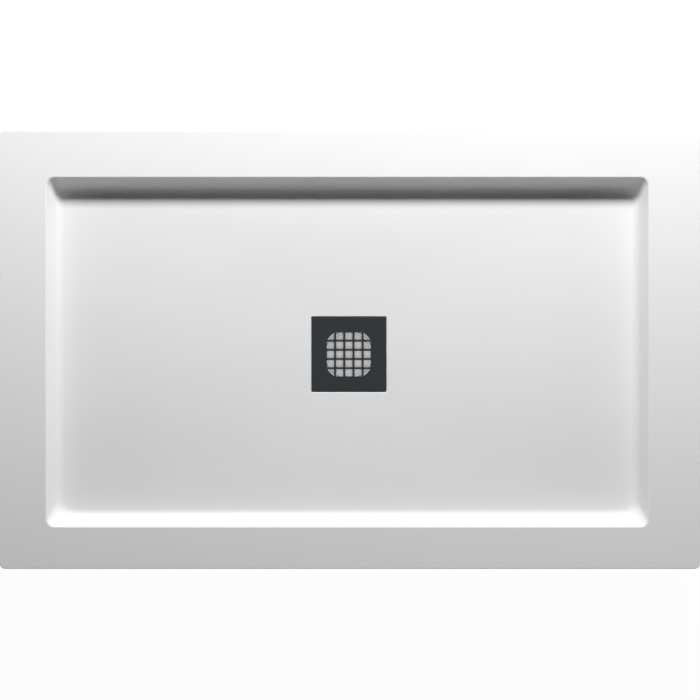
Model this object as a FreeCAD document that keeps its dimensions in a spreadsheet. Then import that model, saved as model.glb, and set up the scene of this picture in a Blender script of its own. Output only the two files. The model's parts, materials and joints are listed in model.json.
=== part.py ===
"""Shower tray, 1200 x 750 mm: an acrylic cap on a ribbed stone-resin core, a 90 mm
bell-trap waste under a square perforated cover, and six screw-adjusted riser legs.

Frame: +X along the length, +Y to the back, +Z up. The origin is on the floor, under
the middle of the tray. All sizes are in millimetres.
"""

import FreeCAD, Part
import math
import os
import re
import Sketcher

DIMENSIONS = {
    # tray: outline, rim and recess
    "tray_length": 1200,
    "tray_width": 750,
    "tray_depth": 60,
    "leg_height": 110,
    "corner_radius": 10,
    "edge_radius": 3,
    "rim_left": 80,
    "rim_right": 89,
    "rim_back": 80,
    "rim_front": 72,
    "recess_depth": 32,
    "wall_run": 18.5,
    "floor_fall": 5,
    "brow_corner": 14,
    "foot_corner": 26,
    "brow_fillet": 3,
    "foot_fillet": 20,
    "skin": 4,
    "skirt_gap": 4,
    # small sizes that moulded pieces share
    "edge_bevel": 1,
    "joint_overlap": 1,
    "screw_end_gap": 1,
    # stepped drain recess in the floor
    "drain_x": -2,
    "drain_y": -8,
    "rebate_side": 129.2,
    "rebate_corner": 2,
    "rebate_depth": 5,
    "seat_diameter": 117,
    "seat_depth": 4,
    "waste_hole": 90,
    "drain_chamfer": 0.6,
    # pockets between the ribs under the core
    "pocket_length": 101,
    "pocket_pitch": 115,
    "pocket_width": 70,
    "row_pitch": 88,
    "pocket_depth": 8,
    "pocket_draft": 5,
    "rim_pocket_width": 44,
    "rim_pocket_depth": 42,
    "rim_pocket_edge": 18,
    # drain cover, its centring ring and its pads
    "cover_side": 128,
    "cover_thickness": 3,
    "cover_corner": 1,
    "cover_bevel": 0.4,
    "cover_hole": 12.5,
    "cover_pitch": 15.8,
    "cover_hole_corner": 1.4,
    "cover_field": 45,
    "cover_ring_radius": 40.5,
    "cover_ring_wall": 2.5,
    "cover_ring_height": 5,
    "cover_notch_width": 9,
    "cover_notch_corner": 0.5,
    "cover_pad_diameter": 12,
    "cover_pad_place": 54,
    # waste flange and gaskets
    "flange_radius": 56.5,
    "flange_thickness": 2.5,
    "gasket_upper": 1.5,
    "gasket_lower": 3,
    "gasket_opening": 46,
    "neck_radius": 43.5,
    "neck_wall": 2.5,
    "ledge_opening": 33,
    "ledge_thickness": 3,
    "screw_circle": 37,
    "screw_radius": 2.25,
    "screw_clearance": 0.05,
    "screw_head_radius": 3.8,
    "screw_head_height": 2.4,
    "screw_length": 19,
    # siphon bell
    "bell_disc_radius": 37.5,
    "bell_disc_thickness": 2,
    "bell_radius": 28,
    "bell_wall": 2,
    "bell_foot_height": 8,
    "bell_foot_radius": 1.8,
    "bell_foot_inset": 2.2,
    "bell_crown_bevel": 2,
    "bell_dip": 47,
    # trap body and outlet
    "trap_radius": 53,
    "trap_wall": 2.5,
    "trap_flange_radius": 57.5,
    "trap_flange_thickness": 5,
    "trap_floor": 66,
    "trap_floor_thickness": 4,
    "trap_bevel": 2,
    "trap_rib": 3,
    "trap_rib_height": 22,
    "lug_width": 11,
    "lug_corner": 1,
    "lug_bottom": 90,
    "lug_gap": 0.5,
    "pipe_radius": 18,
    "pipe_wall": 2.5,
    "standpipe_top": 98,
    "standpipe_collar": 3,
    "duct_level": 44,
    "duct_bore": 17.5,
    "duct_wall": 3,
    "duct_back": 19,
    "duct_length": 62,
    "socket_lap": 6,
    "socket_shoulder": 2,
    "socket_radius": 20.2,
    "socket_length": 30,
    "socket_mouth": 3,
    "thread_radius": 26,
    "nut_radius": 30,
    "nut_length": 24,
    "nut_face": 4,
    "nut_opening": 20.7,
    "nut_grip_width": 5,
    "nut_grip_height": 2,
    "seal_length": 5,
    "seal_taper": 2,
    "seal_gap": 0.5,
    "seal_radius": 20.4,
    # riser legs
    "leg_pitch_x": 485,
    "leg_row_y": 266,
    "leg_flange_side": 90,
    "leg_flange_corner": 12,
    "leg_flange_thickness": 6,
    "hub_bottom": 60,
    "hub_radius_top": 21,
    "hub_radius_bottom": 15,
    "gusset_thickness": 5,
    "gusset_root": 4,
    "gusset_inset": 6,
    "gusset_lip": 3,
    "leg_screw_place": 33,
    "leg_screw_radius": 2.5,
    "leg_screw_length": 14,
    "leg_screw_head_radius": 4.8,
    "leg_screw_head_height": 2.6,
    "leg_screw_play": 0.25,
    "stud_radius": 6,
    "stud_top": 98,
    "stud_chamfer": 1.2,
    "thread_clearance": 0.05,
    "lock_nut_height": 7,
    "lock_nut_flats": 19,
    "lock_nut_bevel_run": 3,
    "lock_nut_bevel_rise": 1.8,
    "cut_margin": 0.1,
    "collar_bottom": 14,
    "collar_height": 6,
    "collar_flats": 17,
    "pin_radius": 5,
    "pin_bottom": 7,
    "pin_end_gap": 0.5,
    "foot_radius": 28,
    "foot_hub_radius": 10.5,
    "foot_hub_flare": 2,
    "foot_rim_height": 3,
    "foot_dome_rise": 1,
    "foot_rib": 2.5,
    "sole_radius": 26,
    "sole_thickness": 3,
}

# Levels above the floor, from the top down.
RIM_TOP = "(leg_height + tray_depth)"
FOOT_LEVEL = f"({RIM_TOP} - recess_depth)"
COVER_TOP = f"({FOOT_LEVEL} - floor_fall)"
REBATE_FLOOR = f"({COVER_TOP} - rebate_depth)"
SEAT_LEVEL = f"({REBATE_FLOOR} - seat_depth)"
COVER_UNDER = f"({COVER_TOP} - cover_thickness)"
CORE_BOTTOM = "leg_height"
TRAP_TOP = "(leg_height - gasket_lower)"

LEG_COLUMNS = ("-leg_pitch_x", "0", "leg_pitch_x")
LEG_ROWS = ("-leg_row_y", "leg_row_y")

LEVEL_TOLERANCE = 0.01

document = FreeCAD.newDocument("ShowerTray")
sheet = document.addObject("Spreadsheet::Sheet", "Dimensions")
for row, (alias, size) in enumerate(DIMENSIONS.items(), start=1):
    sheet.set(f"A{row}", alias)
    sheet.set(f"B{row}", str(size))
    sheet.setAlias(f"B{row}", alias)
document.recompute()


def bound(expression):
    """The expression with each alias named in full, as other objects refer to it."""
    return re.sub(
        r"[a-z][a-z_]+",
        lambda word: f"Dimensions.{word[0]}" if word[0] in DIMENSIONS else word[0],
        expression,
    )


def size_of(expression):
    """The present value of an expression in the sheet's aliases."""
    return float(sheet.evalExpression(bound(expression)))


def bind(feature, name, expression):
    feature.setExpression(name, bound(expression))


# ---------------------------------------------------------------- bodies and sketches


def new_body(label, x="0", y="0"):
    body = document.addObject("PartDesign::Body", label)
    body.Label = label
    bind(body, "Placement.Base.x", x)
    bind(body, "Placement.Base.y", y)
    return body


def new_sketch(body, name, level="0", plane="XY_Plane"):
    """A sketch on one of the body's own planes. On XY_Plane, level is its height; on
    XZ_Plane and YZ_Plane, level is the height of the sketch's own horizontal axis."""
    sketch = body.newObject("Sketcher::SketchObject", name)
    origin = [part for part in body.Origin.OriginFeatures if part.Role == plane][0]
    sketch.AttachmentSupport = [(origin, "")]
    sketch.MapMode = "FlatFace"
    offset = "z" if plane == "XY_Plane" else "y"
    bind(sketch, f"AttachmentOffset.Base.{offset}", level)
    return sketch


def constrain(sketch, kind, *items, expression=None):
    if expression is None:
        return sketch.addConstraint(Sketcher.Constraint(kind, *items))
    index = sketch.addConstraint(Sketcher.Constraint(kind, *items, size_of(expression)))
    bind(sketch, f"Constraints[{index}]", expression)
    return index


def place_point(sketch, edge, end, x, y):
    """Fixes a point of the sketch at x, y from the sketch's origin."""
    for kind, axis, expression in (("DistanceX", -2, x), ("DistanceY", -1, y)):
        if size_of(expression) == 0:
            constrain(sketch, "PointOnObject", edge, end, axis)
        else:
            constrain(sketch, kind, -1, 1, edge, end, expression=expression)


def draw_circle(sketch, radius, x="0", y="0"):
    centre = FreeCAD.Vector(size_of(x), size_of(y), 0)
    up = FreeCAD.Vector(0, 0, 1)
    edge = sketch.addGeometry(Part.Circle(centre, up, size_of(radius)))
    constrain(sketch, "Radius", edge, expression=radius)
    place_point(sketch, edge, 3, x, y)


def draw_outline(sketch, points):
    """A closed outline of straight edges through points, each an x and a y."""
    corners = [FreeCAD.Vector(size_of(x), size_of(y), 0) for x, y in points]
    edges = [
        sketch.addGeometry(Part.LineSegment(start, end))
        for start, end in zip(corners, corners[1:] + corners[:1])
    ]
    for edge, following in zip(edges, edges[1:] + edges[:1]):
        constrain(sketch, "Coincident", edge, 2, following, 1)
    for edge, (x, y) in zip(edges, points):
        place_point(sketch, edge, 1, x, y)


def draw_rounded_box(sketch, left, right, bottom, top, corner):
    """A rectangle with four equal rounded corners."""
    x0, x1, y0, y1 = (size_of(side) for side in (left, right, bottom, top))
    r = size_of(corner)
    up = FreeCAD.Vector(0, 0, 1)
    quarter_turn = math.pi / 2

    def line(xa, ya, xb, yb):
        ends = FreeCAD.Vector(xa, ya, 0), FreeCAD.Vector(xb, yb, 0)
        return sketch.addGeometry(Part.LineSegment(*ends))

    def arc(x, y, quarter):
        circle = Part.Circle(FreeCAD.Vector(x, y, 0), up, r)
        start = quarter * quarter_turn
        return sketch.addGeometry(Part.ArcOfCircle(circle, start, start + quarter_turn))

    lines, arcs = [], []
    lines.append(line(x0 + r, y0, x1 - r, y0))
    arcs.append(arc(x1 - r, y0 + r, 3))
    lines.append(line(x1, y0 + r, x1, y1 - r))
    arcs.append(arc(x1 - r, y1 - r, 0))
    lines.append(line(x1 - r, y1, x0 + r, y1))
    arcs.append(arc(x0 + r, y1 - r, 1))
    lines.append(line(x0, y1 - r, x0, y0 + r))
    arcs.append(arc(x0 + r, y0 + r, 2))
    for index, edge in enumerate(lines):
        constrain(sketch, "Tangent", edge, 2, arcs[index], 1)
        constrain(sketch, "Tangent", arcs[index], 2, lines[(index + 1) % 4], 1)
        constrain(sketch, "Vertical" if index % 2 else "Horizontal", edge)
    for edge in arcs[1:]:
        constrain(sketch, "Equal", arcs[0], edge)
    constrain(sketch, "Radius", arcs[0], expression=corner)
    constrain(sketch, "DistanceX", -1, 1, lines[3], 1, expression=left)
    constrain(sketch, "DistanceX", -1, 1, lines[1], 1, expression=right)
    constrain(sketch, "DistanceY", -1, 1, lines[0], 1, expression=bottom)
    constrain(sketch, "DistanceY", -1, 1, lines[2], 1, expression=top)


def draw_square(sketch, side, corner, x="0", y="0"):
    half = f"({side}) / 2"
    draw_rounded_box(
        sketch, f"{x} - {half}", f"{x} + {half}", f"{y} - {half}", f"{y} + {half}", corner
    )


# ---------------------------------------------------------------- features


def finish_feature(body, feature, profile):
    profile.Visibility = False
    body.Tip = feature
    document.recompute()
    return feature


def pad(body, profile, length, both_ways=False):
    """Adds material upwards from the profile, or half of it to each side."""
    feature = body.newObject("PartDesign::Pad", f"{profile.Name}_pad")
    feature.Profile = profile
    feature.Midplane = both_ways
    bind(feature, "Length", length)
    return finish_feature(body, feature, profile)


def cut_up(body, profile, length, draft="0"):
    """Removes material upwards from the profile, and makes sure that it removed some."""
    before = body.Shape.Volume
    feature = body.newObject("PartDesign::Pocket", f"{profile.Name}_cut")
    feature.Profile = profile
    feature.Reversed = True
    bind(feature, "Length", length)
    bind(feature, "TaperAngle", draft)
    finish_feature(body, feature, profile)
    if body.Shape.Volume >= before:
        raise RuntimeError(f"{feature.Name} removed nothing")
    return feature


def revolve(body, profile, axis="V_Axis", cut=False):
    kind = "Groove" if cut else "Revolution"
    feature = body.newObject(f"PartDesign::{kind}", f"{profile.Name}_{kind.lower()}")
    feature.Profile = profile
    feature.ReferenceAxis = (profile, [axis])
    feature.Angle = 360
    return finish_feature(body, feature, profile)


def loft(body, profiles, cut=False):
    kind = "SubtractiveLoft" if cut else "AdditiveLoft"
    feature = body.newObject(f"PartDesign::{kind}", f"{profiles[0].Name}_loft")
    feature.Profile = profiles[0]
    feature.Sections = profiles[1:]
    feature.Ruled = True
    for profile in profiles:
        profile.Visibility = False
    return finish_feature(body, feature, profiles[0])


def round_edges(body, test, radius, kind="Fillet"):
    """Rounds, or bevels, the edges of the body that pass the test."""
    tip = body.Tip
    names = [f"Edge{n}" for n, edge in enumerate(tip.Shape.Edges, start=1) if test(edge)]
    if not names:
        raise RuntimeError(f"{body.Label}: no edge to round")
    feature = body.newObject(f"PartDesign::{kind}", f"{body.Name}_{kind}")
    feature.Base = (tip, names)
    bind(feature, "Radius" if kind == "Fillet" else "Size", radius)
    return finish_feature(body, feature, feature)


def repeat_around(body, feature, count, axis="N_Axis"):
    """Repeats a feature in equal steps about an axis of its sketch."""
    pattern = body.newObject("PartDesign::PolarPattern", f"{feature.Name}_ring")
    pattern.Originals = [feature]
    pattern.Axis = (feature.Profile[0], [axis])
    pattern.Angle = 360
    pattern.Occurrences = count
    return finish_feature(body, pattern, pattern)


def repeat_in_grid(body, feature, pitch_x, count_x, pitch_y, count_y):
    """Repeats a feature along its sketch's X and Y."""
    pattern = body.newObject("PartDesign::LinearPattern", f"{feature.Name}_grid")
    pattern.Originals = [feature]
    pattern.Direction = (feature.Profile[0], ["H_Axis"])
    pattern.Mode = "Spacing"
    bind(pattern, "Offset", pitch_x)
    pattern.Occurrences = count_x
    pattern.Direction2 = (feature.Profile[0], ["V_Axis"])
    pattern.Mode2 = "Spacing"
    bind(pattern, "Offset2", pitch_y)
    pattern.Occurrences2 = count_y
    even_step = -1.0
    pattern.Spacings2 = [even_step] * (count_y - 1)
    return finish_feature(body, pattern, pattern)


def level_edge(edge, level):
    """Whether an edge lies flat at a level."""
    box = edge.BoundBox
    return max(abs(box.ZMin - level), abs(box.ZMax - level)) < LEVEL_TOLERANCE


# ---------------------------------------------------------------- tray


def wall_inset(drop, offset="0"):
    """How far inside the brow the sloping wall is at a depth below the rim. An offset
    moves the wall outwards, square to itself."""
    slope = "(wall_run / recess_depth)"
    return f"(({drop}) * {slope} - ({offset}) * sqrt(1 + {slope} ^ 2))"


def recess_profile(body, name, level, inset, corner):
    profile = new_sketch(body, name, level)
    draw_rounded_box(
        profile,
        f"rim_left + {inset} - tray_length / 2",
        f"tray_length / 2 - rim_right - {inset}",
        f"rim_front + {inset} - tray_width / 2",
        f"tray_width / 2 - rim_back - {inset}",
        corner,
    )
    return profile


def drain_square(body, name, level, side, corner):
    profile = new_sketch(body, name, level)
    draw_square(profile, side, corner, "drain_x", "drain_y")
    return profile


def drain_circle(body, name, level, diameter):
    profile = new_sketch(body, name, level)
    draw_circle(profile, f"({diameter}) / 2", "drain_x", "drain_y")
    return profile


def basin_profiles(body, name):
    """The recess that the user stands in: sloping walls, then a floor that falls to
    the drain from all four sides."""
    brow = recess_profile(body, f"{name}_brow", RIM_TOP, "0", "brow_corner")
    foot = recess_profile(
        body, f"{name}_foot", FOOT_LEVEL, wall_inset("recess_depth"), "foot_corner"
    )
    drain = drain_square(body, f"{name}_drain", COVER_TOP, "rebate_side", "rebate_corner")
    return [brow, foot, drain]


def basin_back_profiles(body, name):
    """The back of the recess's skin, where the core meets it."""
    start = "skin / 2"
    brow_level = f"{RIM_TOP} - {start}"
    brow_inset = wall_inset(start, "skin")
    foot_inset = wall_inset("recess_depth + skin", "skin")
    brow = recess_profile(body, f"{name}_brow", brow_level, brow_inset, "brow_corner + skin")
    foot = recess_profile(
        body, f"{name}_foot", f"{FOOT_LEVEL} - skin", foot_inset, "foot_corner + skin"
    )
    drain_level = f"{COVER_TOP} - skin"
    drain = drain_square(body, f"{name}_drain", drain_level, "rebate_side", "rebate_corner")
    return [brow, foot, drain]


def drain_backs(body):
    """The backs of the stepped drain recess's skin: a square, then a round."""
    square = drain_square(
        body,
        f"{body.Name}_rebate_back",
        f"{REBATE_FLOOR} - skin",
        "rebate_side + 2 * skin",
        "rebate_corner + skin",
    )
    seat = drain_circle(
        body, f"{body.Name}_seat_back", f"{SEAT_LEVEL} - skin", "seat_diameter + 2 * skin"
    )
    return square, seat


def build_acrylic_cap():
    """The glossy upper skin: rim, recess, drain recess, and a skirt down all four sides."""
    body = new_body("acrylic_cap")
    skirt_bottom = f"{CORE_BOTTOM} + skirt_gap"
    slab = new_sketch(body, "cap_slab", skirt_bottom)
    draw_rounded_box(
        slab,
        "-tray_length / 2",
        "tray_length / 2",
        "-tray_width / 2",
        "tray_width / 2",
        "corner_radius",
    )
    pad(body, slab, "tray_depth - skirt_gap")
    hollow = new_sketch(body, "cap_hollow", skirt_bottom)
    draw_rounded_box(
        hollow,
        "skin - tray_length / 2",
        "tray_length / 2 - skin",
        "skin - tray_width / 2",
        "tray_width / 2 - skin",
        "corner_radius - skin",
    )
    cut_up(body, hollow, "tray_depth - skirt_gap - skin")
    loft(body, basin_back_profiles(body, "cap_back"))
    square, seat = drain_backs(body)
    pad(body, square, "rebate_depth + skin / 2")
    pad(body, seat, "seat_depth + skin / 2")
    loft(body, basin_profiles(body, "cap_basin"), cut=True)
    rebate = drain_square(body, "cap_rebate", REBATE_FLOOR, "rebate_side", "rebate_corner")
    cut_up(body, rebate, "rebate_depth + skin")
    seat = drain_circle(body, "cap_seat", SEAT_LEVEL, "seat_diameter")
    cut_up(body, seat, "seat_depth + skin")
    hole = drain_circle(body, "cap_hole", CORE_BOTTOM, "waste_hole")
    cut_up(body, hole, "tray_depth")

    half_length = size_of("tray_length / 2")
    half_width = size_of("tray_width / 2")
    top = size_of(RIM_TOP)
    foot = size_of(FOOT_LEVEL)

    def inside(edge):
        box = edge.BoundBox
        clear = size_of("corner_radius + edge_bevel")
        return (
            max(abs(box.XMin), abs(box.XMax)) < half_length - clear
            and max(abs(box.YMin), abs(box.YMax)) < half_width - clear
        )

    round_edges(body, lambda edge: level_edge(edge, foot), "foot_fillet")
    round_edges(body, lambda edge: level_edge(edge, top) and inside(edge), "brow_fillet")
    round_edges(body, lambda edge: level_edge(edge, top) and not inside(edge), "edge_radius")
    drain_top = size_of(COVER_TOP)
    round_edges(body, lambda edge: level_edge(edge, drain_top), "drain_chamfer", "Chamfer")
    return body


def cut_pockets(body, name, x, y, size_x, size_y, depth, counts, pitches):
    """A grid of drafted pockets under the core, from the one that is centred on x, y."""
    profile = new_sketch(body, name, CORE_BOTTOM)
    left, right = f"{x} - {size_x} / 2", f"{x} + {size_x} / 2"
    front, back = f"{y} - {size_y} / 2", f"{y} + {size_y} / 2"
    draw_outline(profile, [(left, front), (right, front), (right, back), (left, back)])
    pocket = cut_up(body, profile, depth, "-pocket_draft")
    repeat_in_grid(body, pocket, pitches[0], counts[0], pitches[1], counts[1])


def leg_screw_places():
    """The middle of each screw of each leg's flange."""
    return [
        (f"{column} + {across}", f"{row} + {along}")
        for column in LEG_COLUMNS
        for row in LEG_ROWS
        for across in ("-leg_screw_place", "leg_screw_place")
        for along in ("-leg_screw_place", "leg_screw_place")
    ]


def build_stone_resin_core():
    """The cast core: it fills the skin from behind and carries the legs and the waste.
    Ribs are left between pockets under the rim and the floor; under the legs and round
    the waste it stays solid."""
    body = new_body("stone_resin_core")
    slab = new_sketch(body, "core_slab", CORE_BOTTOM)
    draw_rounded_box(
        slab,
        "skin - tray_length / 2",
        "tray_length / 2 - skin",
        "skin - tray_width / 2",
        "tray_width / 2 - skin",
        "corner_radius - skin",
    )
    pad(body, slab, "tray_depth - skin")
    loft(body, basin_back_profiles(body, "core_basin"), cut=True)
    square, seat = drain_backs(body)
    cut_up(body, square, "rebate_depth + 2 * skin")
    cut_up(body, seat, "seat_depth + 2 * skin")
    hole = drain_circle(body, "core_hole", CORE_BOTTOM, "waste_hole")
    cut_up(body, hole, "tray_depth")
    screw_holes = new_sketch(body, "core_screw_holes", CORE_BOTTOM)
    for x, y in leg_screw_places():
        draw_circle(screw_holes, "leg_screw_radius", x, y)
    cut_up(body, screw_holes, "leg_screw_length")

    floor_cell = ("pocket_length", "pocket_width", "pocket_depth")
    pitches = ("pocket_pitch", "row_pitch")
    outer_column = "drain_x - 3.5 * pocket_pitch"
    inner_column = "drain_x + 1.5 * pocket_pitch"
    blocks = (
        ("core_front_row", outer_column, "drain_y - 2 * row_pitch", (8, 1)),
        ("core_back_row", outer_column, "drain_y + 2 * row_pitch", (8, 1)),
        ("core_left_block", outer_column, "drain_y - row_pitch", (3, 3)),
        ("core_right_block", inner_column, "drain_y - row_pitch", (3, 3)),
    )
    for name, x, y, counts in blocks:
        cut_pockets(body, name, x, y, *floor_cell, counts, pitches)
    inward = "rim_pocket_edge + rim_pocket_width / 2"
    rim_y = f"(tray_width / 2 - ({inward}))"
    rim_x = f"(tray_length / 2 - ({inward}))"
    across = ("pocket_length", "rim_pocket_width", "rim_pocket_depth")
    along = ("rim_pocket_width", "pocket_length", "rim_pocket_depth")
    pitches = ("pocket_pitch", "pocket_pitch")
    start_x, start_y = "-4.5 * pocket_pitch", "-2 * pocket_pitch"
    cut_pockets(body, "core_front_rim", start_x, f"-{rim_y}", *across, (10, 1), pitches)
    cut_pockets(body, "core_back_rim", start_x, rim_y, *across, (10, 1), pitches)
    cut_pockets(body, "core_left_rim", f"-{rim_x}", start_y, *along, (1, 5), pitches)
    cut_pockets(body, "core_right_rim", rim_x, start_y, *along, (1, 5), pitches)
    return body


# ---------------------------------------------------------------- waste

LEDGE_TOP = "(leg_height + ledge_thickness)"
FLANGE_UNDER = f"({SEAT_LEVEL} + gasket_upper)"
BELL_UNDER = f"({LEDGE_TOP} + bell_foot_height)"
BELL_TOP = f"({BELL_UNDER} + bell_disc_thickness)"
DIAGONAL = "sqrt(0.5)"
TRAP_UNDER = "(trap_floor - trap_floor_thickness)"
PIPE_OUTSIDE = "(pipe_radius + pipe_wall)"
DUCT_OUTSIDE = "(duct_bore + duct_wall)"
DUCT_END = "(duct_length - socket_shoulder)"
MOUTH = "(duct_length + socket_length)"


def cross_places(distance):
    """Four places on the X and Y axes."""
    return [(distance, "0"), ("0", distance), (f"-{distance}", "0"), ("0", f"-{distance}")]


def corner_places(distance):
    """Four places at the corners of a square."""
    signs = (("", ""), ("-", ""), ("-", "-"), ("", "-"))
    return [(f"{x}{distance}", f"{y}{distance}") for x, y in signs]


def waste_body(label):
    return new_body(label, "drain_x", "drain_y")


def draw_ring(sketch, outer, inner):
    draw_circle(sketch, outer)
    draw_circle(sketch, inner)


def build_ring(label, outer, inner, level, height):
    body = waste_body(label)
    ring = new_sketch(body, f"{label}_ring", level)
    draw_ring(ring, outer, inner)
    pad(body, ring, height)
    return body


def build_drain_cover():
    """A flush square plate with five rows of five square holes, which a round field
    cuts off at its four corners."""
    body = waste_body("drain_cover")
    plate = new_sketch(body, "cover_plate", COVER_UNDER)
    draw_square(plate, "cover_side", "cover_corner")
    pad(body, plate, "cover_thickness")
    first_hole = new_sketch(body, "cover_first_hole", COVER_UNDER)
    first = "-2 * cover_pitch"
    draw_square(first_hole, "cover_hole", "cover_hole_corner", first, first)
    hole = cut_up(body, first_hole, "cover_thickness")
    repeat_in_grid(body, hole, "cover_pitch", 5, "cover_pitch", 5)
    field = new_sketch(body, "cover_field_edge", COVER_UNDER)
    draw_square(field, "2 * cover_field + cover_hole", "cover_corner")
    draw_circle(field, "cover_field")
    pad(body, field, "cover_thickness")
    top = size_of(COVER_TOP)
    reach = size_of("cover_side / 2 - cover_corner - cut_margin")

    def on_outline(edge):
        middle = edge.CenterOfMass
        return level_edge(edge, top) and max(abs(middle.x), abs(middle.y)) > reach

    round_edges(body, on_outline, "cover_bevel", "Chamfer")
    return body


def build_cover_ring():
    """The plastic ring under the cover that centres it in the neck of the waste, with
    notches that let water run out."""
    label = "cover_centring_ring"
    inner = "cover_ring_radius - cover_ring_wall"
    bottom = f"{COVER_UNDER} - cover_ring_height"
    body = build_ring(label, "cover_ring_radius", inner, bottom, "cover_ring_height")
    notch = new_sketch(body, "cover_ring_notch", bottom)
    half = "cover_notch_width / 2"
    inner, outer = f"{inner} - joint_overlap", "cover_ring_radius + joint_overlap"
    draw_rounded_box(notch, inner, outer, f"-{half}", half, "cover_notch_corner")
    cut = cut_up(body, notch, "cover_ring_height / 2")
    repeat_around(body, cut, 6)
    return body


def build_cover_pads():
    body = waste_body("cover_pads")
    pads = new_sketch(body, "cover_pad_circles", REBATE_FLOOR)
    for x, y in corner_places("cover_pad_place"):
        draw_circle(pads, "cover_pad_diameter / 2", x, y)
    pad(body, pads, "rebate_depth - cover_thickness")
    return body


def build_waste_flange():
    """A flat rim that lies in the seat, a neck through the tray and, at its foot, an
    inner ledge that four screws draw down onto the trap."""
    body = waste_body("waste_flange")
    inside = "neck_radius - neck_wall"
    top = f"{FLANGE_UNDER} + flange_thickness"
    section = new_sketch(body, "flange_section", plane="XZ_Plane")
    outline = [
        ("ledge_opening", CORE_BOTTOM),
        ("neck_radius", CORE_BOTTOM),
        ("neck_radius", FLANGE_UNDER),
        ("flange_radius", FLANGE_UNDER),
        ("flange_radius", f"{top} - edge_bevel"),
        ("flange_radius - edge_bevel", top),
        (f"{inside} + edge_bevel", top),
        (inside, f"{top} - edge_bevel"),
        (inside, LEDGE_TOP),
        ("ledge_opening", LEDGE_TOP),
    ]
    draw_outline(section, outline)
    revolve(body, section)
    holes = new_sketch(body, "flange_screw_holes", CORE_BOTTOM)
    for x, y in cross_places("screw_circle"):
        draw_circle(holes, "screw_radius + screw_clearance", x, y)
    cut_up(body, holes, "ledge_thickness")
    return body


def build_flange_screws():
    body = waste_body("flange_screws")
    shanks = new_sketch(body, "flange_screw_shanks", f"{LEDGE_TOP} - screw_length")
    heads = new_sketch(body, "flange_screw_heads", LEDGE_TOP)
    for x, y in cross_places("screw_circle"):
        draw_circle(shanks, "screw_radius", x, y)
        draw_circle(heads, "screw_head_radius", x, y)
    pad(body, shanks, "screw_length")
    pad(body, heads, "screw_head_height")
    return body


def build_siphon_bell():
    """The lift-out bell: a cover disc on four short feet, with a skirt that dips into
    the water round the standpipe and so seals off the drain."""
    body = waste_body("siphon_bell")
    skirt_end = f"{BELL_UNDER} - bell_dip"
    section = new_sketch(body, "bell_section", plane="XZ_Plane")
    inside = "bell_radius - bell_wall"
    outline = [
        ("0", BELL_UNDER),
        (f"{inside} - bell_crown_bevel", BELL_UNDER),
        (inside, f"{BELL_UNDER} - bell_crown_bevel"),
        (inside, skirt_end),
        ("bell_radius", skirt_end),
        ("bell_radius", BELL_UNDER),
        ("bell_disc_radius", BELL_UNDER),
        ("bell_disc_radius", f"{BELL_TOP} - edge_bevel"),
        ("bell_disc_radius - edge_bevel", BELL_TOP),
        ("0", BELL_TOP),
    ]
    draw_outline(section, outline)
    revolve(body, section)
    feet = new_sketch(body, "bell_feet", LEDGE_TOP)
    for x, y in corner_places(f"(bell_disc_radius - bell_foot_inset) * {DIAGONAL}"):
        draw_circle(feet, "bell_foot_radius", x, y)
    pad(body, feet, "bell_foot_height + bell_disc_thickness / 2")
    return body


def build_trap_body():
    """The moulded chamber that holds the trap's water: open at the top, clamped by its
    flange, and with a hole in its floor for the standpipe."""
    body = waste_body("trap_body")
    inside = "trap_radius - trap_wall"
    floor_hole = f"{PIPE_OUTSIDE} + thread_clearance"
    flange_bottom = f"{TRAP_TOP} - trap_flange_thickness"
    chamber = new_sketch(body, "trap_chamber", plane="XZ_Plane")
    outline = [
        (floor_hole, TRAP_UNDER),
        ("trap_radius", TRAP_UNDER),
        ("trap_radius", f"{flange_bottom} - trap_bevel"),
        ("trap_flange_radius", flange_bottom),
        ("trap_flange_radius", TRAP_TOP),
        ("gasket_opening", TRAP_TOP),
        ("gasket_opening", f"{flange_bottom} + trap_bevel"),
        (inside, flange_bottom),
        (inside, "trap_floor + 2 * trap_bevel"),
        (f"{inside} - 2 * trap_bevel", "trap_floor"),
        (floor_hole, "trap_floor"),
    ]
    draw_outline(chamber, outline)
    revolve(body, chamber)

    rib = new_sketch(body, "trap_rib_side", plane="XZ_Plane")
    root = "trap_radius - trap_wall / 2"
    rib_top = f"{flange_bottom} + joint_overlap"
    tip = "trap_flange_radius - lug_gap"
    draw_outline(rib, [(root, f"{rib_top} - trap_rib_height"), (tip, rib_top), (root, rib_top)])
    repeat_around(body, pad(body, rib, "trap_rib", both_ways=True), 12, "V_Axis")

    half = "lug_width / 2"
    lug_start = "ledge_opening - lug_gap"
    lug = new_sketch(body, "trap_lug", "lug_bottom")
    draw_rounded_box(lug, lug_start, root, f"-{half}", half, "lug_corner")
    height = f"{flange_bottom} + 2 * joint_overlap - lug_bottom"
    repeat_around(body, pad(body, lug, height), 4)
    post = new_sketch(body, "trap_lug_post", "lug_bottom + joint_overlap")
    draw_rounded_box(post, lug_start, "neck_radius - lug_gap", f"-{half}", half, "lug_corner")
    height = f"{CORE_BOTTOM} - lug_bottom - joint_overlap"
    repeat_around(body, pad(body, post, height), 4)
    hole_bottom = f"{LEDGE_TOP} - screw_length - screw_end_gap"
    holes = new_sketch(body, "trap_screw_holes", hole_bottom)
    for x, y in cross_places("screw_circle"):
        draw_circle(holes, "screw_radius + screw_clearance", x, y)
    cut_up(body, holes, "screw_length")
    return body


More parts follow.
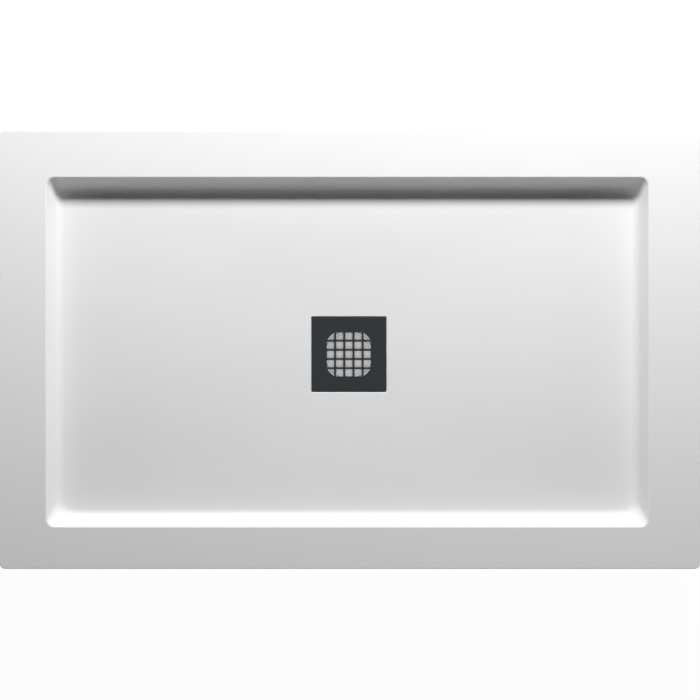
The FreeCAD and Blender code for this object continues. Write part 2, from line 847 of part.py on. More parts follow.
def build_standpipe():
    """The upright pipe that the water spills into. Its collar stands on the chamber's
    floor, and its foot goes through the floor onto the duct's neck."""
    body = waste_body("standpipe")
    section = new_sketch(body, "standpipe_section", plane="XZ_Plane")
    collar = f"{PIPE_OUTSIDE} + standpipe_collar"
    outline = [
        ("pipe_radius", TRAP_UNDER),
        (PIPE_OUTSIDE, TRAP_UNDER),
        (PIPE_OUTSIDE, "trap_floor"),
        (collar, "trap_floor"),
        (collar, "trap_floor + standpipe_collar"),
        (PIPE_OUTSIDE, "trap_floor + 2 * standpipe_collar"),
        (PIPE_OUTSIDE, "standpipe_top"),
        ("pipe_radius", "standpipe_top"),
    ]
    draw_outline(section, outline)
    revolve(body, section)
    return body


def build_outlet_duct():
    """The level pipe under the chamber, with an upright neck below the standpipe. Its
    crown is cut flat, where the chamber's floor is welded onto it."""
    body = waste_body("outlet_duct")
    back = "(-duct_back - duct_wall)"
    section = new_sketch(body, "duct_outside", "duct_level", "XZ_Plane")
    outline = [
        (back, "0"),
        (back, f"{DUCT_OUTSIDE} / 2"),
        (f"{back} + {DUCT_OUTSIDE} / 2", DUCT_OUTSIDE),
        (DUCT_END, DUCT_OUTSIDE),
        (DUCT_END, "0"),
    ]
    draw_outline(section, outline)
    revolve(body, section, "H_Axis")
    neck = new_sketch(body, "duct_neck", "duct_level")
    draw_circle(neck, f"{PIPE_OUTSIDE} + duct_wall")
    pad(body, neck, f"{TRAP_UNDER} - duct_level")
    crown = new_sketch(body, "duct_crown", TRAP_UNDER)
    half = f"({PIPE_OUTSIDE} + 2 * duct_wall)"
    corners = [(f"-{half}", f"-{half}"), ("trap_radius", f"-{half}")]
    corners += [("trap_radius", half), (f"-{half}", half)]
    draw_outline(crown, corners)
    cut_up(body, crown, "duct_bore")

    bore = new_sketch(body, "duct_inside", "duct_level", "XZ_Plane")
    outline = [
        ("-duct_back", "0"),
        ("-duct_back", "duct_bore / 2"),
        ("-duct_back + duct_bore / 2", "duct_bore"),
        (DUCT_END, "duct_bore"),
        (DUCT_END, "0"),
    ]
    draw_outline(bore, outline)
    revolve(body, bore, "H_Axis", cut=True)
    drop = new_sketch(body, "duct_drop", "duct_level")
    draw_circle(drop, "pipe_radius")
    cut_up(body, drop, f"{TRAP_UNDER} - duct_level")
    return body


def build_outlet_socket():
    """The threaded socket for a 40 mm waste pipe, welded over the duct's end, with a
    shoulder that the pipe stops at."""
    body = waste_body("outlet_socket")
    lap = f"({DUCT_END} - socket_lap)"
    fit = f"{DUCT_OUTSIDE} + thread_clearance"
    lap_outside = f"{DUCT_OUTSIDE} + duct_wall"
    section = new_sketch(body, "socket_section", "duct_level", "XZ_Plane")
    outline = [
        (lap, fit),
        (lap, lap_outside),
        (f"{DUCT_END} - duct_wall", lap_outside),
        (DUCT_END, "thread_radius"),
        (MOUTH, "thread_radius"),
        (MOUTH, "socket_radius + socket_mouth"),
        (f"{MOUTH} - socket_mouth", "socket_radius"),
        ("duct_length", "socket_radius"),
        ("duct_length", "pipe_radius"),
        (DUCT_END, "pipe_radius"),
        (DUCT_END, fit),
    ]
    draw_outline(section, outline)
    revolve(body, section, "H_Axis")
    return body


def build_outlet_seal():
    """The tapered ring that the nut presses into the socket's mouth, round the pipe."""
    body = waste_body("outlet_seal")
    section = new_sketch(body, "seal_section", "duct_level", "XZ_Plane")
    outline = [
        (f"{MOUTH} - seal_taper", "seal_radius"),
        (MOUTH, "seal_radius + seal_taper"),
        (MOUTH, "thread_radius - seal_gap"),
        (f"{MOUTH} + seal_length", "thread_radius - seal_gap"),
        (f"{MOUTH} + seal_length", "seal_radius"),
    ]
    draw_outline(section, outline)
    revolve(body, section, "H_Axis")
    return body


def build_outlet_nut():
    """The hand-tightened nut on the socket, with grips round it."""
    body = waste_body("outlet_nut")
    face = f"({MOUTH} + seal_length)"
    end = f"({face} + nut_face)"
    start = f"({end} - nut_length)"
    thread = "thread_radius + thread_clearance"
    section = new_sketch(body, "nut_section", "duct_level", "XZ_Plane")
    outline = [
        (start, thread),
        (start, "nut_radius - edge_bevel"),
        (f"{start} + edge_bevel", "nut_radius"),
        (f"{end} - 2 * edge_bevel", "nut_radius"),
        (end, "nut_radius - 2 * edge_bevel"),
        (end, "nut_opening"),
        (face, "nut_opening"),
        (face, thread),
    ]
    draw_outline(section, outline)
    revolve(body, section, "H_Axis")
    grip = new_sketch(body, "nut_grip", "duct_level", "XZ_Plane")
    low, high = "nut_radius - joint_overlap", "nut_radius + nut_grip_height"
    start, end = f"{start} + 2 * edge_bevel", f"{end} - nut_face"
    draw_outline(grip, [(start, low), (end, low), (end, high), (start, high)])
    repeat_around(body, pad(body, grip, "nut_grip_width", both_ways=True), 10, "H_Axis")
    return body


# ---------------------------------------------------------------- riser legs

FLANGE_BOTTOM = f"({CORE_BOTTOM} - leg_flange_thickness)"


def draw_hexagon(sketch, flats):
    """A hexagon about the sketch's origin, by its width across flats."""
    long_side = f"({flats}) / 2 * sqrt(1 / 3)"
    half = f"({flats}) / 2"
    outline = [
        (half, f"-{long_side}"),
        (half, long_side),
        ("0", f"2 * {long_side}"),
        (f"-{half}", long_side),
        (f"-{half}", f"-{long_side}"),
        ("0", f"-2 * {long_side}"),
    ]
    draw_outline(sketch, outline)


def build_leg_socket(label, x, y):
    """A moulded socket: a square flange that is screwed up into the core, and a tapered
    hub, threaded for the stud and stiffened by four gussets."""
    body = new_body(label, x, y)
    flange = new_sketch(body, f"{label}_flange", FLANGE_BOTTOM)
    draw_square(flange, "leg_flange_side", "leg_flange_corner")
    pad(body, flange, "leg_flange_thickness")
    hub = new_sketch(body, f"{label}_hub", plane="XZ_Plane")
    joint = f"{FLANGE_BOTTOM} + joint_overlap"
    outline = [
        ("0", "hub_bottom"),
        ("hub_radius_bottom - edge_bevel", "hub_bottom"),
        ("hub_radius_bottom", "hub_bottom + edge_bevel"),
        ("hub_radius_top", joint),
        ("0", joint),
    ]
    draw_outline(hub, outline)
    revolve(body, hub)
    gusset = new_sketch(body, f"{label}_gusset", plane="XZ_Plane")
    inner, outer = "hub_radius_bottom - gusset_root", "leg_flange_side / 2 - gusset_inset"
    outline = [
        (inner, "hub_bottom + gusset_inset"),
        ("hub_radius_bottom", "hub_bottom + gusset_inset"),
        (outer, f"{FLANGE_BOTTOM} - gusset_lip"),
        (outer, joint),
        (inner, joint),
    ]
    draw_outline(gusset, outline)
    repeat_around(body, pad(body, gusset, "gusset_thickness", both_ways=True), 4, "V_Axis")
    bore = new_sketch(body, f"{label}_bore", "hub_bottom")
    draw_circle(bore, "stud_radius + thread_clearance")
    cut_up(body, bore, f"{CORE_BOTTOM} - hub_bottom")
    holes = new_sketch(body, f"{label}_holes", FLANGE_BOTTOM)
    for hole_x, hole_y in corner_places("leg_screw_place"):
        draw_circle(holes, "leg_screw_radius + leg_screw_play", hole_x, hole_y)
    cut_up(body, holes, "leg_flange_thickness")
    return body


def build_lock_nut(label, x, y):
    """A thin hexagon nut, tightened on the stud against the socket."""
    body = new_body(label, x, y)
    bottom = "hub_bottom - lock_nut_height"
    hexagon = new_sketch(body, f"{label}_hexagon", bottom)
    draw_hexagon(hexagon, "lock_nut_flats")
    draw_circle(hexagon, "stud_radius + thread_clearance")
    pad(body, hexagon, "lock_nut_height")
    bevel = new_sketch(body, f"{label}_bevel", plane="XZ_Plane")
    flat = "lock_nut_flats / 2"
    outline = [
        (flat, f"{bottom} - cut_margin"),
        (f"{flat} + lock_nut_bevel_run", f"{bottom} - cut_margin"),
        (f"{flat} + lock_nut_bevel_run", f"{bottom} + lock_nut_bevel_rise"),
    ]
    draw_outline(bevel, outline)
    revolve(body, bevel, cut=True)
    return body


def build_leg_stud(label, x, y):
    """An M12 stud with a hexagon collar to turn it by and a smooth pin below, on which
    the foot swivels."""
    body = new_body(label, x, y)
    section = new_sketch(body, f"{label}_section", plane="XZ_Plane")
    outline = [
        ("0", "pin_bottom"),
        ("pin_radius - edge_bevel", "pin_bottom"),
        ("pin_radius", "pin_bottom + edge_bevel"),
        ("pin_radius", "collar_bottom"),
        ("stud_radius", "collar_bottom"),
        ("stud_radius", "stud_top - stud_chamfer"),
        ("stud_radius - stud_chamfer", "stud_top"),
        ("0", "stud_top"),
    ]
    draw_outline(section, outline)
    revolve(body, section)
    collar = new_sketch(body, f"{label}_collar", "collar_bottom")
    draw_hexagon(collar, "collar_flats")
    pad(body, collar, "collar_height")
    return body


def build_foot_pad(label, x, y):
    """A moulded foot: a wide disc and a ribbed hub with a blind hole for the pin."""
    body = new_body(label, x, y)
    top = "collar_bottom - thread_clearance"
    dome = "sole_thickness + foot_rim_height + foot_dome_rise"
    section = new_sketch(body, f"{label}_section", plane="XZ_Plane")
    outline = [
        ("0", "sole_thickness"),
        ("foot_radius - edge_bevel", "sole_thickness"),
        ("foot_radius", "sole_thickness + edge_bevel"),
        ("foot_radius", "sole_thickness + foot_rim_height"),
        ("foot_hub_radius + foot_hub_flare", dome),
        ("foot_hub_radius", top),
        ("0", top),
    ]
    draw_outline(section, outline)
    revolve(body, section)
    rib = new_sketch(body, f"{label}_rib", plane="XZ_Plane")
    inner, outer = "foot_hub_radius - foot_hub_flare", "foot_radius - 2 * edge_bevel"
    root = "sole_thickness + foot_rim_height - joint_overlap"
    outline = [
        (inner, root),
        (outer, root),
        (outer, dome),
        ("foot_hub_radius", f"{top} - edge_bevel"),
        (inner, f"{top} - edge_bevel"),
    ]
    draw_outline(rib, outline)
    repeat_around(body, pad(body, rib, "foot_rib", both_ways=True), 6, "V_Axis")
    socket = new_sketch(body, f"{label}_socket", "pin_bottom - pin_end_gap")
    draw_circle(socket, "pin_radius + thread_clearance")
    cut_up(body, socket, "collar_bottom - pin_bottom + pin_end_gap")
    return body


def build_foot_sole(label, x, y):
    """The rubber sole under a foot."""
    body = new_body(label, x, y)
    section = new_sketch(body, f"{label}_section", plane="XZ_Plane")
    outline = [
        ("0", "0"),
        ("sole_radius - edge_bevel", "0"),
        ("sole_radius", "edge_bevel"),
        ("sole_radius", "sole_thickness"),
        ("0", "sole_thickness"),
    ]
    draw_outline(section, outline)
    revolve(body, section)
    return body


def build_leg_screws():
    """Four screws through each leg's flange into the core."""
    body = new_body("leg_screws")
    shanks = new_sketch(body, "leg_screw_shanks", FLANGE_BOTTOM)
    head_bottom = f"{FLANGE_BOTTOM} - leg_screw_head_height"
    heads = new_sketch(body, "leg_screw_heads", head_bottom)
    for x, y in leg_screw_places():
        draw_circle(shanks, "leg_screw_radius - screw_clearance", x, y)
        draw_circle(heads, "leg_screw_head_radius", x, y)
    pad(body, shanks, "leg_flange_thickness + leg_screw_length - screw_end_gap")
    pad(body, heads, "leg_screw_head_height")
    return body


def build_legs():
    parts = []
    for row_name, y in zip(("front", "back"), LEG_ROWS):
        for column_name, x in zip(("left", "middle", "right"), LEG_COLUMNS):
            place = f"{row_name}_{column_name}"
            parts += [
                build_leg_socket(f"{place}_leg_socket", x, y),
                build_lock_nut(f"{place}_lock_nut", x, y),
                build_leg_stud(f"{place}_leg_stud", x, y),
                build_foot_pad(f"{place}_foot_pad", x, y),
                build_foot_sole(f"{place}_foot_sole", x, y),
            ]
    return parts


# ---------------------------------------------------------------- the whole tray


def build_tray():
    gasket_inner = "neck_radius + 2"
    return [
        build_acrylic_cap(),
        build_stone_resin_core(),
        build_drain_cover(),
        build_cover_ring(),
        build_cover_pads(),
        build_waste_flange(),
        build_ring("upper_gasket", "flange_radius", gasket_inner, SEAT_LEVEL, "gasket_upper"),
        build_ring("lower_gasket", "flange_radius", "gasket_opening", TRAP_TOP, "gasket_lower"),
        build_flange_screws(),
        build_siphon_bell(),
        build_trap_body(),
        build_standpipe(),
        build_outlet_duct(),
        build_outlet_socket(),
        build_outlet_seal(),
        build_outlet_nut(),
        build_leg_screws(),
        *build_legs(),
    ]


def check_document():
    """Every feature must have been built, because a failed one raises nothing."""
    for item in document.Objects:
        if {"Invalid", "Error"} & set(item.State):
            raise RuntimeError(f"{item.Name}: {item.State}")


def write_parts(parts):
    os.makedirs("parts", exist_ok=True)
    for body in parts:
        if body.Shape.isNull() or not body.Shape.isValid():
            raise RuntimeError(f"{body.Label}: not a valid shape")
    for body in parts:
        body.Shape.exportStep(os.path.join("parts", f"{body.Label}.step"))


parts = build_tray()
document.recompute()
check_document()
write_parts(parts)
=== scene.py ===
"""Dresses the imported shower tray: a satin white cap with a perforated anthracite drain
cover, on a cast stone-resin core, with its trap and screw-adjusted feet below.

Lengths are in metres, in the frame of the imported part: +X along the tray, +Y to the
back and +Z up, with the origin on the floor under the middle of the tray.
"""

import json
import math

import bmesh
import bpy
from mathutils import Matrix, Vector

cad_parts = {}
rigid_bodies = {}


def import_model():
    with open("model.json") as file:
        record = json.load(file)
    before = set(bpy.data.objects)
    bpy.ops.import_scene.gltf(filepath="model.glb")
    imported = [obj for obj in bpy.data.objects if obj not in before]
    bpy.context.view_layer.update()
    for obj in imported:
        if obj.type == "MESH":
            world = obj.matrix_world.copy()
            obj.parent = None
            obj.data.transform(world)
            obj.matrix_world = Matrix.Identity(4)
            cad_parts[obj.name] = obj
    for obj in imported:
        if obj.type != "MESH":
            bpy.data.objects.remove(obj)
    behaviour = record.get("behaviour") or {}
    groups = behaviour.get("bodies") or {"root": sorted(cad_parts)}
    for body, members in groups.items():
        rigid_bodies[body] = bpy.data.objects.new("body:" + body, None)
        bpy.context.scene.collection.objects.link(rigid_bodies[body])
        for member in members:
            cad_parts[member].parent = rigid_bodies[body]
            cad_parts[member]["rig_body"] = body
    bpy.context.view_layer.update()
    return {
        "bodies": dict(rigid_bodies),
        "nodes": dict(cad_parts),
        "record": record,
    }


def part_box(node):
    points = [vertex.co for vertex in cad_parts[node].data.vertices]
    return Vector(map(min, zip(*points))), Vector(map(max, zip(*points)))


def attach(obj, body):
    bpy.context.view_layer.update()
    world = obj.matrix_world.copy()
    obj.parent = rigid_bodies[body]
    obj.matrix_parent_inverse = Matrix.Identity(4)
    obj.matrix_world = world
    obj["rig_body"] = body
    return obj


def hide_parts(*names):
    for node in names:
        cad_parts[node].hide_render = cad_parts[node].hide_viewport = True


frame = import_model()

MM = 0.001
UP = Vector((0, 0, 1))
SLOTS = {part["node"]: part["material_slot"] for part in frame["record"]["subparts"]}
FEET = [body for body in frame["bodies"] if body.endswith("_foot")]
LEGS = [body[: -len("_foot")] for body in FEET]


# ---------------------------------------------------------------- materials


class Paint:
    """A material under construction: one principled shader and what feeds it."""

    def __init__(self, name, colour, roughness, metallic=0.0):
        self.material = bpy.data.materials.new(name)
        self.material.use_nodes = True
        self.tree = self.material.node_tree
        self.shader = self.tree.nodes["Principled BSDF"]
        self.place = self.tree.nodes.new("ShaderNodeTexCoord").outputs["Object"]
        self.colour = (*colour, 1.0)
        self.shader.inputs["Base Color"].default_value = self.colour
        self.shader.inputs["Roughness"].default_value = roughness
        self.shader.inputs["Metallic"].default_value = metallic

    def link(self, output, node, name):
        self.tree.links.new(output, node.inputs[name])

    def stretched(self, stretch):
        """Object coordinates that are scaled along each axis."""
        node = self.tree.nodes.new("ShaderNodeMapping")
        node.inputs["Scale"].default_value = stretch
        self.link(self.place, node, "Vector")
        return node.outputs["Vector"]

    def noise(self, size, detail=2.0, stretch=None):
        """Smooth noise with blotches of about this size, from 0 to 1."""
        node = self.tree.nodes.new("ShaderNodeTexNoise")
        node.inputs["Scale"].default_value = 1 / size
        node.inputs["Detail"].default_value = detail
        self.link(self.stretched(stretch) if stretch else self.place, node, "Vector")
        return node.outputs["Fac"]

    def grains(self, size):
        """Rounded grains of about this size: 0 in the middle of each."""
        node = self.tree.nodes.new("ShaderNodeTexVoronoi")
        node.inputs["Scale"].default_value = 1 / size
        self.link(self.place, node, "Vector")
        return node.outputs["Distance"]

    def spread(self, value, low, high, start=0.35, end=0.65):
        """The value's middle part, stretched to run from low to high."""
        node = self.tree.nodes.new("ShaderNodeMapRange")
        node.inputs["From Min"].default_value = start
        node.inputs["From Max"].default_value = end
        node.inputs["To Min"].default_value = low
        node.inputs["To Max"].default_value = high
        self.link(value, node, "Value")
        return node.outputs["Result"]

    def mix_colour(self, share, other):
        """Fades the base colour into another by a share from 0 to 1."""
        node = self.tree.nodes.new("ShaderNodeMix")
        node.data_type = "RGBA"
        colour_a, colour_b = [s for s in node.inputs if s.type == "RGBA"]
        base = self.shader.inputs["Base Color"]
        if base.is_linked:
            self.tree.links.new(base.links[0].from_socket, colour_a)
        else:
            colour_a.default_value = self.colour
        colour_b.default_value = (*other, 1.0)
        self.tree.links.new(share, node.inputs["Factor"])
        result = [s for s in node.outputs if s.type == "RGBA"][0]
        self.link(result, self.shader, "Base Color")

    def rough(self, value):
        self.link(value, self.shader, "Roughness")

    def bump(self, height, depth, strength=1.0):
        """Raises the surface by up to this depth where the height is 1."""
        node = self.tree.nodes.new("ShaderNodeBump")
        node.inputs["Distance"].default_value = depth
        node.inputs["Strength"].default_value = strength
        self.link(height, node, "Height")
        before = self.shader.inputs["Normal"]
        if before.is_linked:
            self.link(before.links[0].from_socket, node, "Normal")
        self.link(node.outputs["Normal"], self.shader, "Normal")


def white_acrylic():
    paint = Paint("white_acrylic", (0.86, 0.86, 0.86), 0.38)
    paint.mix_colour(paint.spread(paint.noise(120 * MM, 1), 0, 1), (0.85, 0.852, 0.853))
    paint.rough(paint.spread(paint.noise(60 * MM, 1), 0.36, 0.41))
    paint.bump(paint.noise(45 * MM, 1), 0.02 * MM, 0.5)
    paint.shader.inputs["Specular IOR Level"].default_value = 0.25
    return paint.material


def stone_resin():
    paint = Paint("stone_resin", (0.6, 0.585, 0.55), 0.8)
    paint.mix_colour(paint.spread(paint.noise(30 * MM, 5), 0, 1), (0.52, 0.505, 0.475))
    paint.mix_colour(paint.spread(paint.noise(1.6 * MM), 0, 0.5, 0.58, 0.66), (0.3, 0.28, 0.25))
    paint.mix_colour(paint.spread(paint.grains(2.4 * MM), 0.6, 0, 0.0, 0.3), (0.72, 0.71, 0.68))
    paint.rough(paint.spread(paint.noise(3 * MM), 0.7, 0.92))
    paint.bump(paint.noise(1.2 * MM, 4), 0.25 * MM, 0.6)
    paint.bump(paint.noise(22 * MM, 3), 0.8 * MM, 0.5)
    return paint.material


def anthracite_cover():
    paint = Paint("anthracite_cover", (0.015, 0.019, 0.022), 0.45)
    paint.mix_colour(paint.spread(paint.noise(12 * MM, 3), 0, 0.5), (0.013, 0.018, 0.022))
    paint.rough(paint.spread(paint.noise(0.9 * MM), 0.4, 0.52))
    paint.bump(paint.noise(0.6 * MM, 2), 0.03 * MM, 0.7)
    paint.shader.inputs["Specular IOR Level"].default_value = 0.25
    return paint.material


def white_plastic():
    paint = Paint("white_plastic", (0.7, 0.71, 0.71), 0.38)
    paint.mix_colour(paint.spread(paint.noise(25 * MM, 3), 0, 0.7), (0.66, 0.67, 0.675))
    paint.rough(paint.spread(paint.noise(2 * MM, 3), 0.32, 0.46))
    paint.bump(paint.noise(0.8 * MM, 2), 0.02 * MM, 0.5)
    return paint.material


def black_nylon():
    paint = Paint("black_nylon", (0.022, 0.022, 0.024), 0.55)
    paint.mix_colour(paint.spread(paint.noise(9 * MM, 4), 0, 0.8), (0.032, 0.032, 0.034))
    paint.rough(paint.spread(paint.noise(1.5 * MM, 3), 0.45, 0.65))
    paint.bump(paint.grains(0.7 * MM), 0.05 * MM, 0.6)
    return paint.material


def stainless_steel():
    paint = Paint("stainless_steel", (0.56, 0.56, 0.56), 0.34, 1.0)
    brushed = (0.15, 1, 1)
    paint.mix_colour(paint.spread(paint.noise(0.5 * MM, 2, brushed), 0, 0.6), (0.42, 0.42, 0.425))
    paint.rough(paint.spread(paint.noise(0.4 * MM, 2, brushed), 0.28, 0.42))
    paint.bump(paint.noise(0.3 * MM, 1, brushed), 0.01 * MM, 0.4)
    return paint.material


def zinc_steel():
    paint = Paint("zinc_steel", (0.58, 0.6, 0.63), 0.34, 1.0)
    paint.mix_colour(paint.spread(paint.noise(4 * MM, 4), 0, 0.8), (0.47, 0.485, 0.5))
    paint.mix_colour(paint.spread(paint.noise(11 * MM, 2), 0, 0.35), (0.6, 0.56, 0.47))
    paint.rough(paint.spread(paint.noise(1.8 * MM, 3), 0.26, 0.45))
    paint.bump(paint.noise(0.7 * MM, 2), 0.015 * MM, 0.5)
    return paint.material


def black_rubber():
    paint = Paint("black_rubber", (0.014, 0.014, 0.015), 0.8)
    paint.mix_colour(paint.spread(paint.noise(5 * MM, 4), 0, 1), (0.024, 0.023, 0.022))
    paint.rough(paint.spread(paint.noise(1.2 * MM, 3), 0.68, 0.9))
    paint.bump(paint.noise(0.5 * MM, 3), 0.05 * MM, 0.7)
    return paint.material


MATERIALS = {
    make.__name__: make()
    for make in (
        white_acrylic,
        stone_resin,
        anthracite_cover,
        white_plastic,
        black_nylon,
        stainless_steel,
        zinc_steel,
        black_rubber,
    )
}


def paint_node(node):
    """Gives a CAD node that stays in view the full material of its slot."""
    materials = frame["nodes"][node].data.materials
    materials.clear()
    materials.append(MATERIALS[SLOTS[node]])


# ---------------------------------------------------------------- mesh building


def arc_steps(turn, count):
    """Angles from 0 to a turn in degrees, in equal steps."""
    return [math.radians(turn) * step / count for step in range(count + 1)]


def mix(a, b, share):
    return a + (b - a) * share


def add_ring(shape, points):
    """Adds points to a shape, not yet joined."""
    return [shape.verts.new(point) for point in points]


def join_rings(shape, first, second):
    """A band of faces between two rings of equally many points."""
    for i, vertex in enumerate(first):
        j = (i + 1) % len(first)
        shape.faces.new((vertex, first[j], second[j], second[i]))


def join_all(shape, rings):
    """Adds rings of equally many points and joins each to the next."""
    rows = [add_ring(shape, ring) for ring in rings]
    for row, after in zip(rows, rows[1:]):
        join_rings(shape, row, after)
    return rows


def fill_between(shape, rings):
    """Fills the flat area inside the first ring and outside the others."""
    edges = []
    for ring in rings:
        for vertex, after in zip(ring, ring[1:] + ring[:1]):
            edges.append(shape.edges.get((vertex, after)) or shape.edges.new((vertex, after)))
    bmesh.ops.triangle_fill(shape, edges=edges, use_beauty=True)


def close_ends(shape, rows):
    """Caps the first and the last of the rings."""
    fill_between(shape, [rows[0]])
    fill_between(shape, [rows[-1]])


def to_mesh(shape, name):
    """Turns a shape into a mesh with its faces outwards."""
    bmesh.ops.recalc_face_normals(shape, faces=shape.faces)
    mesh = bpy.data.meshes.new(name)
    shape.to_mesh(mesh)
    shape.free()
    return mesh


LEVEL_NORMAL = 0.999999
SHARP_ANGLE = math.radians(32)


def add_piece(name, mesh, node, at=(0, 0, 0), trim=False):
    """Puts a mesh in the scene on a node's body: in the node's place, or as steel trim.

    Level faces are shaded flat, so that the fillets round them don't bend their shading.
    """
    slot = "stainless_steel" if trim else SLOTS[node]
    mesh.set_sharp_from_angle(angle=SHARP_ANGLE)
    for polygon in mesh.polygons:
        polygon.use_smooth = abs(polygon.normal.z) < LEVEL_NORMAL
    mesh.materials.append(MATERIALS[slot])
    piece = bpy.data.objects.new(name, mesh)
    piece.location = at
    bpy.context.scene.collection.objects.link(piece)
    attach(piece, frame["nodes"][node]["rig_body"])
    if not trim:
        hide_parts(node)


def middle_of(low, high):
    """Where the vertical axis of a box stands on the ground."""
    centre = (low + high) / 2
    return Vector((centre.x, centre.y, 0))


def circle(radius, level, steps):
    return [
        Vector((radius * math.cos(angle), radius * math.sin(angle), level))
        for angle in arc_steps(360, steps)[:-1]
    ]


def turned(profile, steps):
    """Rings round the Z axis through a profile of radii and levels."""
    return [circle(radius, level, steps) for radius, level in profile]


def rounded_box(box, corner, level, steps_corner, steps_x, steps_y):
    """A rounded rectangle at a level, as points that go round it once."""
    x0, x1, y0, y1 = box
    turns = (
        (x1 - corner, y0 + corner, -90),
        (x1 - corner, y1 - corner, 0),
        (x0 + corner, y1 - corner, 90),
        (x0 + corner, y0 + corner, 180),
    )
    arcs = []
    for x, y, start in turns:
        angles = [math.radians(start) + angle for angle in arc_steps(90, steps_corner)]
        arc = [(x + corner * math.cos(a), y + corner * math.sin(a), level) for a in angles]
        arcs.append([Vector(point) for point in arc])
    points = []
    for side, (arc, after) in enumerate(zip(arcs, arcs[1:] + arcs[:1])):
        steps = steps_x if side % 2 else steps_y
        points += arc
        points += [arc[-1].lerp(after[0], step / steps) for step in range(1, steps)]
    return points


def square(centre, half):
    """The box of a square about a centre."""
    return centre.x - half, centre.x + half, centre.y - half, centre.y + half


def inset(box, distance):
    """The box with each side moved inwards."""
    x0, x1, y0, y1 = box
    return x0 + distance, x1 - distance, y0 + distance, y1 - distance


# ---------------------------------------------------------------- acrylic cap

CAP_LOW, CAP_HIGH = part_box("acrylic_cap")
COVER_LOW, COVER_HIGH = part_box("drain_cover")
DRAIN = (COVER_LOW + COVER_HIGH) / 2

RIM_TOP = CAP_HIGH.z
DRAIN_LEVEL = COVER_HIGH.z
OUTLINE = (CAP_LOW.x, CAP_HIGH.x, CAP_LOW.y, CAP_HIGH.y)
CORNER, EDGE_FILLET, SKIRT_EASE = 10 * MM, 1.5 * MM, 0.8 * MM
RIM_LEFT, RIM_RIGHT, RIM_FRONT, RIM_BACK = 80 * MM, 89 * MM, 72 * MM, 80 * MM
BROW = (
    CAP_LOW.x + RIM_LEFT,
    CAP_HIGH.x - RIM_RIGHT,
    CAP_LOW.y + RIM_FRONT,
    CAP_HIGH.y - RIM_BACK,
)
BROW_CORNER, BROW_FILLET = 14 * MM, 3 * MM
FOOT_CORNER, FOOT_FILLET = 26 * MM, 20 * MM
RECESS_DEPTH, WALL_RUN = 32 * MM, 18.5 * MM
FOOT_LEVEL = RIM_TOP - RECESS_DEPTH
FLOOR_FALL = FOOT_LEVEL - DRAIN_LEVEL
SKIN, CLEARANCE = 4 * MM, 0.1 * MM
BACK = SKIN - CLEARANCE
REBATE_HALF, REBATE_CORNER, DRAIN_CHAMFER = 64.6 * MM, 2 * MM, 1.2 * MM
REBATE_DEPTH, SEAT_DEPTH = 5 * MM, 4 * MM
SEAT_RADIUS, HOLE_RADIUS = 58.5 * MM, 45 * MM

WALL_SLOPE = math.atan2(RECESS_DEPTH, WALL_RUN)
BROW_TANGENT = BROW_FILLET * math.tan(WALL_SLOPE / 2)
FOOT_TANGENT = FOOT_FILLET * math.tan(WALL_SLOPE / 2)
FLOOR_START = WALL_RUN + FOOT_TANGENT
FILLET_TOP = FLOOR_START - FOOT_FILLET * math.sin(WALL_SLOPE)

CAP_STEPS = (10, 40, 26)
EDGE_STEPS, BROW_STEPS, FOOT_STEPS = 6, 6, 14
FLOOR_STEPS, FLOOR_BULGE, FLOOR_EASE = 26, 110 * MM, 0.6
SUPPORT = 0.4 * MM


def cap_ring(box, corner, level):
    return rounded_box(box, corner, level, *CAP_STEPS)


def wall_corner(distance):
    """The recess's corner radius at a distance inside its brow.

    It grows evenly down the wall, and along the foot's fillet it eases into the floor's.
    """
    flare = (FOOT_CORNER - BROW_CORNER) / WALL_RUN
    if distance <= FILLET_TOP:
        return BROW_CORNER + flare * distance
    start = FILLET_TOP + BROW_CORNER + flare * FILLET_TOP
    end = WALL_RUN + FOOT_CORNER
    run = FLOOR_START - FILLET_TOP
    t = (distance - FILLET_TOP) / run
    curved = (2 * t**3 - 3 * t**2 + 1) * start + (3 * t**2 - 2 * t**3) * end
    curved += (t**3 - 2 * t**2 + t) * run * (1 + flare)
    return curved - distance


def wall_ring(distance, level):
    """The recess's outline at a distance inside its brow."""
    return cap_ring(inset(BROW, distance), wall_corner(distance), level)


def brow_rings():
    """The brow's fillet, with a support ring where it meets the flat wall."""
    rings = []
    for angle in arc_steps(math.degrees(WALL_SLOPE), BROW_STEPS):
        distance = BROW_FILLET * math.sin(angle) - BROW_TANGENT
        rings.append(wall_ring(distance, RIM_TOP - BROW_FILLET * (1 - math.cos(angle))))
    distance += SUPPORT * math.cos(WALL_SLOPE)
    rings.append(wall_ring(distance, RIM_TOP - distance * math.tan(WALL_SLOPE)))
    return rings


def foot_rings(offset=0.0):
    """The foot's fillet, or its back at an offset into the material."""
    radius = FOOT_FILLET + offset
    rings = []
    for angle in reversed(arc_steps(math.degrees(WALL_SLOPE), FOOT_STEPS)):
        distance = FLOOR_START - radius * math.sin(angle)
        level = FOOT_LEVEL + FOOT_FILLET - radius * math.cos(angle)
        rings.append(wall_ring(distance, level))
    return rings


def floor_rings(drain_half, drain_corner, offset=0.0):
    """The floor, from the foot's fillet down to the drain."""
    foot_box = inset(BROW, FLOOR_START)
    foot_corner = wall_corner(FLOOR_START)
    drain_box = square(DRAIN, drain_half)
    rings = []
    for step in range(1, FLOOR_STEPS + 1):
        t = step / FLOOR_STEPS
        box = [mix(a, b, t) for a, b in zip(foot_box, drain_box)]
        corner = mix(foot_corner, drain_corner, t) + FLOOR_BULGE * 4 * t * (1 - t)
        fall = FLOOR_FALL * mix(t, t * t * (3 - 2 * t), FLOOR_EASE)
        rings.append(cap_ring(box, corner, FOOT_LEVEL - offset - fall))
    return rings


def drain_ring(half, corner, level):
    """A rounded square about the drain."""
    return cap_ring(square(DRAIN, half), corner, level)


